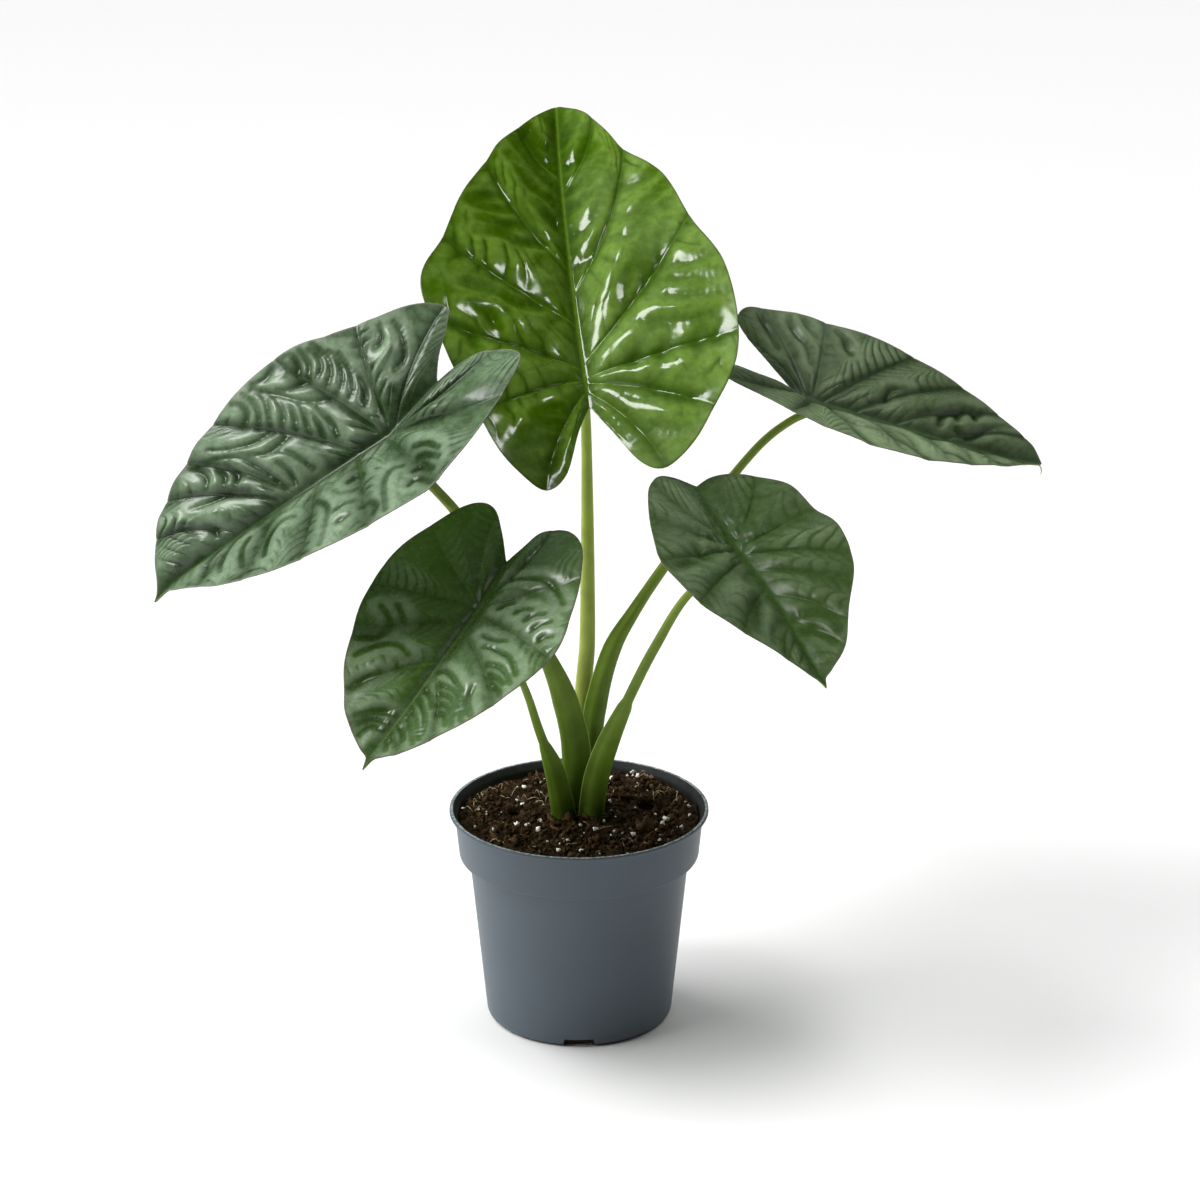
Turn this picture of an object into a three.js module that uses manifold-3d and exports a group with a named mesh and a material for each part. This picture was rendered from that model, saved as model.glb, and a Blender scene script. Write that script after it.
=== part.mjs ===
// Potted lukiwan alocasia: five thick, quilted, shield-shaped leaf blades, each on its own
// sheathing leaf stalk, growing from one crown in the soil of a round plastic nursery pot.
// Millimetres, +Z up. The origin is the middle of the flat underside of the pot.

import * as THREE from 'three';
import { mergeVertices } from 'three/addons/utils/BufferGeometryUtils.js';
import Module from 'manifold-3d';

const wasm = await Module();
wasm.setup();

// Driving dimensions
const GAP = 0.3; // clearance between pieces that touch
const RIM_RADIUS = 60; // 12 cm nursery pot, across the lip
const POT_HEIGHT = 102.7;
const BASE_RADIUS = 43.2;
const WALL = 1.3;
const STEP_HEIGHT = 79.8; // underside of the collar
const WALL_TOP_RADIUS = 51; // body wall where it meets the collar
const COLLAR_RADIUS = 55.5; // lower edge of the collar
const COLLAR_TOP_RADIUS = 57.6; // collar just under the lip
const LIP_HEIGHT = 2.2;
const POT_SIDES = 48;

const NOTCH_COUNT = 3; // drain slots cut through the bottom corner
const NOTCH_WIDTH = 15;
const NOTCH_TOP_WIDTH = 12.5;
const NOTCH_HEIGHT = 3.4;
const NOTCH_REACH = 7; // how far a slot runs in under the floor

const SOIL_LEVEL = 96.5;
const SOIL_SIDES = 36;
const PERLITE_COUNT = 32;
const CHIP_COUNT = 20;

const BLADE_THICKNESS = 0.8;
const MIDRIB_DEPTH = 1.5; // how far the midrib stands out under the blade
const STALK_SIDES = 10;
const STALK_STEP = 17; // length between rings of a leaf stalk
const STALK_ROOT = 82; // height of the buried foot of every stalk

const radians = THREE.MathUtils.degToRad;
const { lerp, clamp, smoothstep } = THREE.MathUtils;

// Solids

// Drops normals and texture coordinates and welds the seams, so that a geometry is closed.
function weld(geometry) {
  geometry.deleteAttribute('normal');
  geometry.deleteAttribute('uv');
  return mergeVertices(geometry, 1e-4);
}

function toSolid(geometry) {
  const welded = weld(geometry.clone());
  const mesh = new wasm.Mesh({
    numProp: 3,
    vertProperties: new Float32Array(welded.attributes.position.array),
    triVerts: new Uint32Array(welded.index.array),
  });
  return new wasm.Manifold(mesh);
}

function toGeometry(solid) {
  const mesh = solid.getMesh();
  const geometry = new THREE.BufferGeometry();
  geometry.setAttribute('position', new THREE.BufferAttribute(new Float32Array(mesh.vertProperties), 3));
  geometry.setIndex([...mesh.triVerts]);
  return geometry;
}

// Keeps the largest body where a cut left loose scraps.
function largestBody(solid) {
  const bodies = solid.decompose();
  bodies.sort((a, b) => b.volume() - a.volume());
  return bodies[0];
}

// A repeatable stream of numbers from 0 to 1.
function randomStream(seed) {
  let state = seed;
  return () => {
    state = (state * 1664525 + 1013904223) % 4294967296;
    return state / 4294967296;
  };
}

function piece(name, geometry, color, roughness) {
  geometry.computeVertexNormals();
  const material = new THREE.MeshStandardMaterial({ color, roughness, metalness: 0 });
  const mesh = new THREE.Mesh(geometry, material);
  mesh.name = name;
  return mesh;
}

// Pot: a thin tapered wall that steps out into a collar and ends in a small flared lip.

function potGeometry() {
  const top = POT_HEIGHT;
  const innerStep = STEP_HEIGHT + WALL;
  const outline = [
    [0, 0],
    [BASE_RADIUS - 2, 0],
    [BASE_RADIUS - 0.6, 0.6],
    [BASE_RADIUS, 2],
    [WALL_TOP_RADIUS, STEP_HEIGHT],
    [COLLAR_RADIUS - 0.8, STEP_HEIGHT],
    [COLLAR_RADIUS, STEP_HEIGHT + 1.4],
    [COLLAR_TOP_RADIUS, top - LIP_HEIGHT],
    [RIM_RADIUS - 0.3, top - LIP_HEIGHT + 0.5],
    [RIM_RADIUS, top - 0.8],
    [RIM_RADIUS - 0.6, top],
    [COLLAR_TOP_RADIUS - 0.4, top],
    [COLLAR_TOP_RADIUS - WALL, top - LIP_HEIGHT],
    [COLLAR_RADIUS - WALL, innerStep],
    [WALL_TOP_RADIUS - WALL, innerStep],
    [BASE_RADIUS - WALL, WALL + 0.3],
    [0, WALL + 0.3],
  ];
  const points = outline.map(([radius, height]) => new THREE.Vector2(radius, height));
  const lathe = new THREE.LatheGeometry(points, POT_SIDES);
  lathe.rotateX(Math.PI / 2);

  const slotShape = new THREE.Shape();
  slotShape.moveTo(-NOTCH_WIDTH / 2, -1);
  slotShape.lineTo(NOTCH_WIDTH / 2, -1);
  slotShape.lineTo(NOTCH_TOP_WIDTH / 2, NOTCH_HEIGHT);
  slotShape.lineTo(-NOTCH_TOP_WIDTH / 2, NOTCH_HEIGHT);
  slotShape.closePath();

  let pot = toSolid(lathe);
  for (let index = 0; index < NOTCH_COUNT; index += 1) {
    const slot = new THREE.ExtrudeGeometry(slotShape, { depth: NOTCH_REACH + 4, bevelEnabled: false });
    slot.rotateX(Math.PI / 2);
    slot.translate(0, -(BASE_RADIUS - NOTCH_REACH), 0);
    slot.rotateZ((index * 2 * Math.PI) / NOTCH_COUNT);
    pot = pot.subtract(toSolid(slot));
  }
  return toGeometry(pot);
}

// Leaf blades

// Every blade is laid out flat first: "along" runs down the midrib from the stalk (0) to the
// tip, "across" runs to either side. Half outlines go from the tip to the notch at the back,
// so the stalk meets the blade a little way in from its edge. The blade is then folded into a
// shallow V along the midrib, bent along its length and turned to its place.
//   at        where the stalk meets the upper face
//   azimuth, elevation, roll   direction of the midrib, and turn about it
//   droop, lobeDroop           bend of the midrib ahead of and behind the stalk, per metre
//   fold, arch                 rise of each half at the midrib, and how it levels out, per metre
//   sway, hook, shear          sideways run of the midrib, of its tip and of the back lobes
const LEAVES = {
  leaf_1: {
    at: [2.8, 32, 302],
    azimuth: 100, elevation: 42, roll: -3,
    droop: 1.5, lobeDroop: 2.5, fold: 18, arch: 0.5, sway: -0.6, hook: 0, shear: 0,
    tip: 161, notch: -17,
    left: [[150, 10], [131, 29], [103, 46], [70, 62], [40, 75], [8, 67], [-32, 52], [-52, 38],
      [-60, 27], [-52, 16], [-30, 7]],
    right: [[148, 14], [124, 29], [98, 48], [66, 61], [40, 71], [6, 74], [-20, 64], [-42, 47],
      [-54, 32], [-49, 20], [-30, 8]],
    color: 0x6fa62f, roughness: 0.28,
  },
  leaf_2: {
    at: [-83.5, -32, 294.6],
    azimuth: 195, elevation: -30, roll: -28,
    droop: 2, lobeDroop: 1.5, fold: 22, arch: 1.5, sway: -1.4, hook: 5, shear: 0.35,
    tip: 129, notch: -31,
    left: [[119, 5], [110, 15], [98, 28], [75, 43], [46, 53], [16, 58], [-20, 58], [-50, 49],
      [-64, 41], [-65, 30], [-56, 13], [-42, 3]],
    right: [[121, 9], [103, 28], [80, 42], [50, 54], [22, 60], [0, 55], [-24, 43], [-44, 32],
      [-53, 22], [-48, 15], [-38, 8]],
    color: 0x6d8a6a, roughness: 0.4,
  },
  leaf_3: {
    at: [-44.2, -60, 222],
    azimuth: 235, elevation: -31, roll: -8,
    droop: 0.5, lobeDroop: 1, fold: 13, arch: 1.5, sway: -1, hook: 1, shear: 0.08,
    tip: 94, notch: -29,
    left: [[88, 3], [79, 17], [61, 32], [40, 44], [15, 52], [-6, 48], [-26, 43], [-44, 34],
      [-52, 22], [-49, 10], [-38, 4]],
    right: [[87, 5], [73, 22], [54, 35], [32, 44], [8, 49], [-14, 46], [-35, 37], [-50, 27],
      [-52, 18], [-42, 9]],
    color: 0x55774a, roughness: 0.38,
  },
  leaf_4: {
    at: [107.9, 55, 282.3],
    azimuth: 4, elevation: -18.5, roll: 21,
    droop: 1, lobeDroop: 2, fold: 23, arch: 1, sway: 1.6, hook: 3, shear: -0.35,
    tip: 117, notch: -10,
    left: [[109, 10], [92, 20], [70, 30], [46, 38], [20, 43], [-6, 42], [-24, 36], [-36, 31],
      [-40, 23], [-35, 16], [-22, 7]],
    right: [[109, 3], [98, 13], [82, 25], [62, 38], [40, 46], [18, 45], [-4, 40], [-28, 41],
      [-44, 36], [-50, 22], [-44, 8], [-28, 3]],
    color: 0x5b7f45, roughness: 0.36,
  },
  leaf_5: {
    at: [70.9, -45, 244.6],
    azimuth: 301, elevation: -21, roll: 4,
    droop: 1, lobeDroop: 1, fold: 16, arch: 1, sway: -2, hook: 1, shear: -0.12,
    tip: 89, notch: -47,
    left: [[82, 6], [73, 17], [55, 28], [35, 40], [12, 46], [-4, 43], [-22, 38], [-35, 27],
      [-44, 17], [-48, 8]],
    right: [[80, 4], [68, 15], [52, 29], [34, 41], [10, 46], [-10, 42], [-30, 35], [-46, 27],
      [-54, 18], [-53, 9]],
    color: 0x4c7040, roughness: 0.36,
  },
};

// Main side veins: where each leaves the midrib (share of the way to the tip, or millimetres
// behind the stalk when negative) and where it ends on the margin (share of the half outline).
const VEINS = [
  { root: 0.66, end: 0.13 },
  { root: 0.46, end: 0.26 },
  { root: 0.27, end: 0.39 },
  { root: 0.11, end: 0.53 },
  { root: 0.015, end: 0.67 },
  { root: -3, end: 0.87 },
];
const PANEL_ROWS = [4, 4, 4, 4, 4, 6, 5]; // rows of faces from one vein to the next
const COLUMNS = [0, 0.05, 0.2, 0.38, 0.57, 0.76, 0.91, 1];
const PUFF = 0.05; // rise of a panel between two veins, as a share of the half width
const SCALLOP = 0.9; // how far the margin is drawn in where a vein ends
const BOW = 0.1; // bulge of a side vein away from the straight line

// Unit vectors of a blade: down the midrib, across to the left, and up out of the upper face.
function bladeAxes({ azimuth, elevation, roll }) {
  const turn = radians(azimuth);
  const rise = radians(elevation);
  const along = new THREE.Vector3(
    Math.cos(rise) * Math.cos(turn), Math.cos(rise) * Math.sin(turn), Math.sin(rise));
  const level = new THREE.Vector3(
    -Math.sin(rise) * Math.cos(turn), -Math.sin(rise) * Math.sin(turn), Math.cos(rise));
  const flatAcross = level.clone().cross(along);
  const across = flatAcross.clone().applyAxisAngle(along, radians(roll));
  const up = level.clone().applyAxisAngle(along, radians(roll));
  return { along, across, up };
}

// Lifts a point of the flat blade, with its height above the flat sheet, to its place.
function placeOnBlade(leaf, axes, along, across, height) {
  const bend = (along > 0 ? leaf.droop : leaf.lobeDroop) / 1000;
  const angle = bend * along;
  const run = Math.sin(angle) / bend;
  const drop = (Math.cos(angle) - 1) / bend;
  const fold = radians(leaf.fold);
  const arch = leaf.arch / 1000;
  const width = Math.abs(across);
  const side = ((Math.sin(fold) - Math.sin(fold - arch * width)) / arch) * Math.sign(across);
  const rise = (Math.cos(fold - arch * width) - Math.cos(fold)) / arch + height;
  const nearTip = clamp((along / leaf.tip - 0.8) / 0.2, 0, 1);
  const sway = along > 0
    ? (leaf.sway / 2000) * along * along + leaf.hook * nearTip * nearTip
    : leaf.shear * along;
  return new THREE.Vector3(...leaf.at)
    .addScaledVector(axes.along, run + rise * Math.sin(angle))
    .addScaledVector(axes.across, side + sway)
    .addScaledVector(axes.up, drop + rise * Math.cos(angle));
}

// One row of the vein-aligned grid for each margin share, with its place between two veins.
function veinRows(leaf) {
  const stops = [
    { end: 0, root: leaf.tip },
    ...VEINS.map(({ root, end }) => ({ end, root: root > 0 ? root * leaf.tip : root })),
    { end: 1, root: leaf.notch },
  ];
  const rows = [];
  for (let panel = 0; panel < stops.length - 1; panel += 1) {
    for (let step = 0; step < PANEL_ROWS[panel]; step += 1) {
      const share = step / PANEL_ROWS[panel];
      rows.push({
        end: lerp(stops[panel].end, stops[panel + 1].end, share),
        root: lerp(stops[panel].root, stops[panel + 1].root, share),
        swell: Math.sin(Math.PI * share),
      });
    }
  }
  rows.push({ end: 1, root: leaf.notch, swell: 0 });
  return rows;
}

// The point a share of the way out along one row, on the flat sheet, with its height.
function rowPoint(row, margin, share) {
  const chordAlong = margin.x - row.root;
  const chordAcross = margin.y;
  const bulge = BOW * (1 - 1.9 * row.end) * 4 * share * (1 - share);
  const along = row.root + chordAlong * share - chordAcross * bulge;
  const across = chordAcross * share + chordAlong * bulge;
  const nearMidrib = smoothstep(share, 0, 0.35);
  const nearMargin = 1 - 0.55 * smoothstep(share, 0.6, 1);
  const width = Math.hypot(chordAlong, chordAcross);
  const height = PUFF * width * row.swell * nearMidrib * nearMargin;
  return { along, across: Math.max(across, 0), height };
}

function bladeGeometry(leaf) {
  const axes = bladeAxes(leaf);
  const rows = veinRows(leaf);
  const last = rows.length - 1;
  const top = [];
  const depth = [];

  function addPoint(along, across, height, thickness) {
    top.push(placeOnBlade(leaf, axes, along, across, height));
    depth.push(thickness);
    return top.length - 1;
  }

  function ribThickness(along) {
    const reach = along > 0 ? along / leaf.tip : along / leaf.notch;
    return BLADE_THICKNESS + MIDRIB_DEPTH * (1 - 0.85 * clamp(reach, 0, 1));
  }

  const spine = rows.map((row) => addPoint(row.root, 0, 0, ribThickness(row.root)));
  const faces = [];
  const rim = [];
  for (const [points, sign] of [[leaf.left, 1], [leaf.right, -1]]) {
    const outline = new THREE.SplineCurve(
      [[leaf.tip, 0], ...points, [leaf.notch, 0]].map(([x, y]) => new THREE.Vector2(x, y)));
    const grid = rows.map((row, index) => {
      if (index === 0 || index === last) return COLUMNS.map(() => spine[index]);
      const margin = outline.getPointAt(row.end);
      const pull = 1 - (SCALLOP * (1 - row.swell)) / Math.hypot(margin.x - row.root, margin.y);
      margin.set(lerp(row.root, margin.x, pull), margin.y * pull);
      return COLUMNS.map((share, column) => {
        if (column === 0) return spine[index];
        const point = rowPoint(row, margin, share);
        return addPoint(point.along, sign * point.across, point.height, BLADE_THICKNESS);
      });
    });
    for (let row = 0; row < last; row += 1) {
      for (let column = 0; column < COLUMNS.length - 1; column += 1) {
        const a = grid[row][column];
        const b = grid[row][column + 1];
        const c = grid[row + 1][column + 1];
        const d = grid[row + 1][column];
        for (const face of [[a, c, b], [a, d, c]]) {
          if (new Set(face).size < 3) continue;
          faces.push(sign > 0 ? face.reverse() : face);
        }
      }
    }
    const edge = grid.map((line) => line[COLUMNS.length - 1]);
    rim.push(...(sign > 0 ? edge.slice(0, -1) : edge.reverse().slice(0, -1)));
  }

  // The lower face follows the upper one, one thickness below it along the surface normal.
  const upper = new THREE.BufferGeometry().setFromPoints(top);
  upper.setIndex(faces.flat());
  upper.computeVertexNormals();
  const normals = upper.attributes.normal;
  const bottom = top.map((point, index) => {
    const normal = new THREE.Vector3().fromBufferAttribute(normals, index);
    return point.clone().addScaledVector(normal, -depth[index]);
  });
  const count = top.length;
  const indices = faces.flat();
  for (const [a, b, c] of faces) indices.push(a + count, c + count, b + count);
  rim.forEach((a, index) => {
    const b = rim[(index + 1) % rim.length];
    indices.push(a, a + count, b, b, a + count, b + count);
  });
  const geometry = new THREE.BufferGeometry().setFromPoints([...top, ...bottom]);
  geometry.setIndex(indices);
  return geometry;
}

// Leaf stalks: each rises from the crown, broad and flattened where it sheathes the others,
// and slims to a round stalk that bends up square to the underside of its blade.
//   path      middle of the stalk from the soil up, before the bend at the blade
//   section   height, half width and half depth down the stalk
const STALKS = {
  stalk_1: {
    leaf: 'leaf_1',
    path: [[0.6, 12.6, STALK_ROOT], [0.6, 12.8, 98], [1, 14.3, 130], [2, 16, 155], [3.7, 18, 175],
      [4, 21.5, 201], [3.8, 30, 251], [3.2, 36, 280]],
    section: [[82, 4, 3.6], [98, 4.1, 3.6], [155, 3.9, 3.8], [175, 3.7, 3.7], [201, 3.4, 3.4],
      [254, 2.6, 2.6], [300, 2.1, 2.1]],
    color: 0x9db656,
  },
  stalk_2: {
    leaf: 'leaf_2',
    path: [[-4.4, 3.2, STALK_ROOT], [-4.2, 3.2, 98], [-1.3, 0, 130.5], [-6.4, -2.5, 157],
      [-12.7, -5, 175], [-19, -6.5, 188], [-35, -8, 219], [-54.5, -10, 250], [-72, -21, 274.5]],
    section: [[82, 5.2, 3.7], [98, 5.4, 3.7], [118, 6.4, 3.5], [130, 6.8, 3.2], [157, 6, 3.2],
      [175, 4.3, 3], [190, 3.2, 2.8], [219, 2.6, 2.6], [252, 2.4, 2.4], [290, 2.1, 2.1]],
    color: 0x7e9c4a,
  },
  stalk_3: {
    leaf: 'leaf_3',
    path: [[-6.8, -4.8, STALK_ROOT], [-6.8, -5, 98], [-10.4, -10, 122], [-14.8, -17, 139],
      [-18.2, -23, 151], [-24, -35, 175], [-33, -47, 199]],
    section: [[82, 5.4, 3.7], [98, 5.7, 3.7], [122, 4.9, 3.3], [139, 3.1, 2.8], [151, 2.2, 2.1],
      [175, 1.7, 1.7], [220, 1.7, 1.7]],
    color: 0x7f9b4c,
  },
  stalk_4: {
    leaf: 'leaf_4',
    path: [[7, 6, STALK_ROOT], [7, 6.2, 98], [6, 8.2, 132], [7.8, 8.6, 150],
      [15.5, 12.5, 177], [25, 18.5, 192], [38.7, 28, 210], [72, 47, 250]],
    section: [[82, 4.6, 3.6], [98, 4.8, 3.6], [132, 5, 3], [150, 5.2, 3], [162, 4.7, 3],
      [177, 4.3, 2.9], [192, 3.1, 2.7], [201, 2.7, 2.5], [240, 2.1, 2.1], [285, 1.8, 1.8]],
    color: 0x7b993f,
  },
  stalk_5: {
    leaf: 'leaf_5',
    path: [[5.8, -3.6, STALK_ROOT], [5.6, -3.8, 98], [8, -7.2, 120], [12.7, -12.5, 138],
      [21.6, -20, 162], [34, -28.5, 193], [48, -38, 223]],
    section: [[82, 5.7, 3.7], [98, 6, 3.7], [120, 5.9, 3.5], [138, 5.3, 3.2], [151, 4.2, 3],
      [163, 2.9, 2.7], [193, 2.5, 2.5], [225, 1.8, 1.8], [245, 1.7, 1.7]],
    color: 0x7f9b50,
  },
};
const BLADE_BEND = 9; // length of the bend where a stalk turns square to its blade

function sectionAt(section, height) {
  const after = section.findIndex(([level]) => level > height);
  if (after === 0) return section[0].slice(1);
  if (after < 0) return section[section.length - 1].slice(1);
  const [low, lowWidth, lowDepth] = section[after - 1];
  const [high, highWidth, highDepth] = section[after];
  const share = (height - low) / (high - low);
  return [lerp(lowWidth, highWidth, share), lerp(lowDepth, highDepth, share)];
}

// A round bar of unit radius is extruded along the stalk, and each of its rings is then
// stretched to the half width and half depth that the stalk has at that height.
function stalkGeometry({ leaf, path, section }, grow) {
  const blade = LEAVES[leaf];
  const { up } = bladeAxes(blade);
  const seat = new THREE.Vector3(...blade.at);
  const under = BLADE_THICKNESS + MIDRIB_DEPTH + GAP;
  const points = path.map((point) => new THREE.Vector3(...point));
  points[0].z -= grow;
  points.push(seat.clone().addScaledVector(up, -BLADE_BEND - under));
  points.push(seat.clone().addScaledVector(up, -under));
  const curve = new THREE.CatmullRomCurve3(points, false, 'centripetal');
  const steps = Math.round(curve.getLength() / STALK_STEP) + 4;
  const shape = new THREE.Shape();
  for (let side = 0; side < STALK_SIDES; side += 1) {
    const angle = (side * 2 * Math.PI) / STALK_SIDES;
    shape[side === 0 ? 'moveTo' : 'lineTo'](Math.cos(angle), Math.sin(angle));
  }
  shape.closePath();
  const geometry = new THREE.ExtrudeGeometry(shape, { steps, extrudePath: curve, bevelEnabled: false });

  const rings = curve.getSpacedPoints(steps);
  const tangents = rings.map((point, index) => curve.getTangentAt(index / steps));
  const position = geometry.attributes.position;
  const depthward = new THREE.Vector3(0, 1, 0);
  for (let index = 0; index < position.count; index += 1) {
    const vertex = new THREE.Vector3().fromBufferAttribute(position, index);
    const distances = rings.map((ring) => ring.distanceToSquared(vertex));
    const nearest = distances.indexOf(Math.min(...distances));
    const widthAxis = new THREE.Vector3().crossVectors(depthward, tangents[nearest]).normalize();
    const depthAxis = new THREE.Vector3().crossVectors(tangents[nearest], widthAxis);
    const offset = vertex.sub(rings[nearest]);
    const [halfWidth, halfDepth] = sectionAt(section, rings[nearest].z);
    const moved = rings[nearest].clone()
      .addScaledVector(widthAxis, offset.dot(widthAxis) * (halfWidth + grow))
      .addScaledVector(depthAxis, offset.dot(depthAxis) * (halfDepth + grow));
    position.setXYZ(index, moved.x, moved.y, moved.z);
  }
  return weld(geometry);
}

// Soil: fills the pot to just under the lip. Its top is lumpy, with perlite grains and bark
// chips half sunk in it, and a plain hole for each leaf stalk.

function soilHeight(x, y) {
  const lumps = 0.9 * Math.sin(0.31 * x + 1.2) * Math.cos(0.27 * y - 0.5)
    + 0.6 * Math.sin(0.55 * y + 0.23 * x) * Math.cos(0.47 * x + 2);
  const crown = 4 * Math.exp(-(x * x + y * y) / 520);
  return SOIL_LEVEL + lumps + crown;
}

function soilGeometry() {
  const innerStep = STEP_HEIGHT + WALL;
  const collarEdge = COLLAR_RADIUS - WALL - GAP;
  const topEdge = lerp(collarEdge, COLLAR_TOP_RADIUS - WALL - GAP, 0.7);
  const outline = [
    [0, WALL + 0.3 + GAP],
    [BASE_RADIUS - WALL - GAP - 0.2, WALL + 0.3 + GAP],
    [WALL_TOP_RADIUS - WALL - GAP - 0.2, innerStep + GAP],
    [collarEdge - 0.2, innerStep + GAP],
    [topEdge - 0.2, SOIL_LEVEL - 1],
    [48, SOIL_LEVEL],
    [40, SOIL_LEVEL],
    [31, SOIL_LEVEL],
    [22, SOIL_LEVEL],
    [12, SOIL_LEVEL],
    [0, SOIL_LEVEL],
  ];
  const points = outline.map(([radius, height]) => new THREE.Vector2(radius, height));
  const lathe = new THREE.LatheGeometry(points, SOIL_SIDES);
  lathe.rotateX(Math.PI / 2);
  const position = lathe.attributes.position;
  for (let index = 0; index < position.count; index += 1) {
    if (position.getZ(index) < SOIL_LEVEL - 0.5) continue;
    position.setZ(index, soilHeight(position.getX(index), position.getY(index)));
  }

  let soil = toSolid(lathe);
  const random = randomStream(41);
  const scatter = (geometry, sunk) => {
    const radius = 15 + 36 * Math.sqrt(random());
    const angle = random() * 2 * Math.PI;
    const x = radius * Math.cos(angle);
    const y = radius * Math.sin(angle);
    geometry.rotateX((random() - 0.5) * 0.9);
    geometry.rotateZ(random() * Math.PI);
    geometry.translate(x, y, soilHeight(x, y) + sunk);
    soil = soil.add(toSolid(geometry));
  };
  for (let grain = 0; grain < PERLITE_COUNT; grain += 1) {
    const size = 0.9 + 0.6 * random();
    scatter(new THREE.IcosahedronGeometry(size, 0), 0.2);
  }
  for (let chip = 0; chip < CHIP_COUNT; chip += 1) {
    scatter(new THREE.BoxGeometry(2.4 + 3 * random(), 1.4 + random(), 2.2), 0.1);
  }
  for (const stalk of Object.values(STALKS)) soil = soil.subtract(toSolid(stalkGeometry(stalk, GAP)));
  return toGeometry(largestBody(soil));
}

// Assembly
const plant = new THREE.Group();
plant.name = 'potted_lukiwan_alocasia';
plant.add(piece('pot', potGeometry(), 0x74838f, 0.5));
plant.add(piece('soil', soilGeometry(), 0x3a2a20, 0.95));
for (const [name, stalk] of Object.entries(STALKS)) {
  plant.add(piece(name, stalkGeometry(stalk, 0), stalk.color, 0.45));
}
for (const [name, leaf] of Object.entries(LEAVES)) {
  plant.add(piece(name, bladeGeometry(leaf), leaf.color, leaf.roughness));
}

export default plant;
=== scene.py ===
import math
from types import SimpleNamespace

import bmesh
import bpy
import numpy as np
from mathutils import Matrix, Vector, noise


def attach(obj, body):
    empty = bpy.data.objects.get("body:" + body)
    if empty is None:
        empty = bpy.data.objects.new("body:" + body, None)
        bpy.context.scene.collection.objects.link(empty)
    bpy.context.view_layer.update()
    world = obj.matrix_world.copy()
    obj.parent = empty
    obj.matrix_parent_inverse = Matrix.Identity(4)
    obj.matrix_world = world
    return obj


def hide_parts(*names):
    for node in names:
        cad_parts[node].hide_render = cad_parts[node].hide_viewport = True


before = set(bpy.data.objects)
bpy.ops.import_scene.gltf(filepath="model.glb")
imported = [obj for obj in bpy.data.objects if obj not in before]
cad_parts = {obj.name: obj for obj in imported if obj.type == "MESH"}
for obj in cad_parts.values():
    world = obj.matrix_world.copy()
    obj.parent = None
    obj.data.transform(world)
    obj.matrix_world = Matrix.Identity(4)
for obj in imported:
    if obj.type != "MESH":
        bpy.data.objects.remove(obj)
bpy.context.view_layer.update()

# Pot
# A 12 cm nursery pot, injection-moulded in one piece of blue-grey polypropylene. Its thin tapered
# wall steps out into a collar and ends in a small lip, and three drain slots cut the bottom corner.

MM = 0.001
POT_SIDES = 192
POT_OUTLINE = [  # radius and height in mm, from the underside up the outside and down the inside
    (0, 0), (41.2, 0), (43.2, 2), (51, 79.8), (55.5, 79.8), (57.6, 100.5), (60, 100.9),
    (60, 102.7), (58.5, 102.7), (57.9, 102.3), (56.3, 99.8), (54.2, 81.1), (49.7, 81.1), (41.9, 1.6),
    (0, 1.6),
]
CORNER_RADII = [0, 0.5, 1.6, 0.8, 1.5, 0.5, 0.7, 0.6, 0.15, 0.2, 0.8, 1.0, 1.2, 1.2, 0]
DRAIN_SLOTS = 3
SLOT_SHAPE = [(-8, -1), (8, -1), (6.6, 4.2), (-6.6, 4.2)]  # across and up, in mm
SLOT_START, SLOT_END = 36.2, 47.2  # distance from the axis
SLOT_TOP, SLOT_ROOF, FLOOR_EDGE = 4.3, 3, 42.4
STAINED_AND_SHADED_ABOVE = 80  # the inner wall is stained with peat and painted in shade above this height
CHAFED_AND_LIT_ABOVE, CHAFED_AND_LIT_FROM, CHAFED_AND_LIT_TO = 102.6, 58.4, 59.7  # height and reach of the lip top, pale from scuffs and a painted highlight
LEVEL = 0.98  # a face whose normal rises or falls by more than this lies flat
CREASE_ANGLE = 38  # a corner sharper than this stays crisp


def linear(hex_colour):
    """An sRGB hex colour as the linear RGBA that the shader nodes take."""
    channels = [int(hex_colour[i:i + 2], 16) / 255 for i in (1, 3, 5)]
    return [c / 12.92 if c <= 0.04045 else ((c + 0.055) / 1.055) ** 2.4 for c in channels] + [1]


def output_of(source):
    """An output as it is, or the first output of a node."""
    return source.outputs[0] if isinstance(source, bpy.types.Node) else source


def add_node(material, kind, values=None, links=None, **settings):
    """Adds a shader node: its settings, the values of its sockets and the links into them."""
    tree = material.node_tree
    node = tree.nodes.new("ShaderNode" + kind)
    for option, setting in settings.items():
        setattr(node, option, setting)
    for socket, value in (values or {}).items():
        node.inputs[socket].default_value = value
    for socket, source in (links or {}).items():
        tree.links.new(output_of(source), node.inputs[socket])
    return node


def feed(shader, socket, source):
    """Links an output into a socket of a shader."""
    shader.id_data.links.new(output_of(source), shader.inputs[socket])


def new_finish(name, **values):
    """A material, its shader with the plain values of its sockets, and the place on the piece."""
    material = bpy.data.materials.new(name)
    material.use_nodes = True
    shader = material.node_tree.nodes["Principled BSDF"]
    for socket, value in values.items():
        shader.inputs[socket.replace("_", " ")].default_value = value
    return material, shader, add_node(material, "TexCoord").outputs["Object"]


def mix_colours(material, factor, first, second):
    """The mix of two colours, each a hex colour or another node's output."""
    values, links = {}, {0: factor}
    for socket, colour in ((6, first), (7, second)):
        if isinstance(colour, str):
            values[socket] = linear(colour)
        else:
            links[socket] = colour
    return add_node(material, "Mix", values, links, data_type="RGBA").outputs[2]


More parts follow.
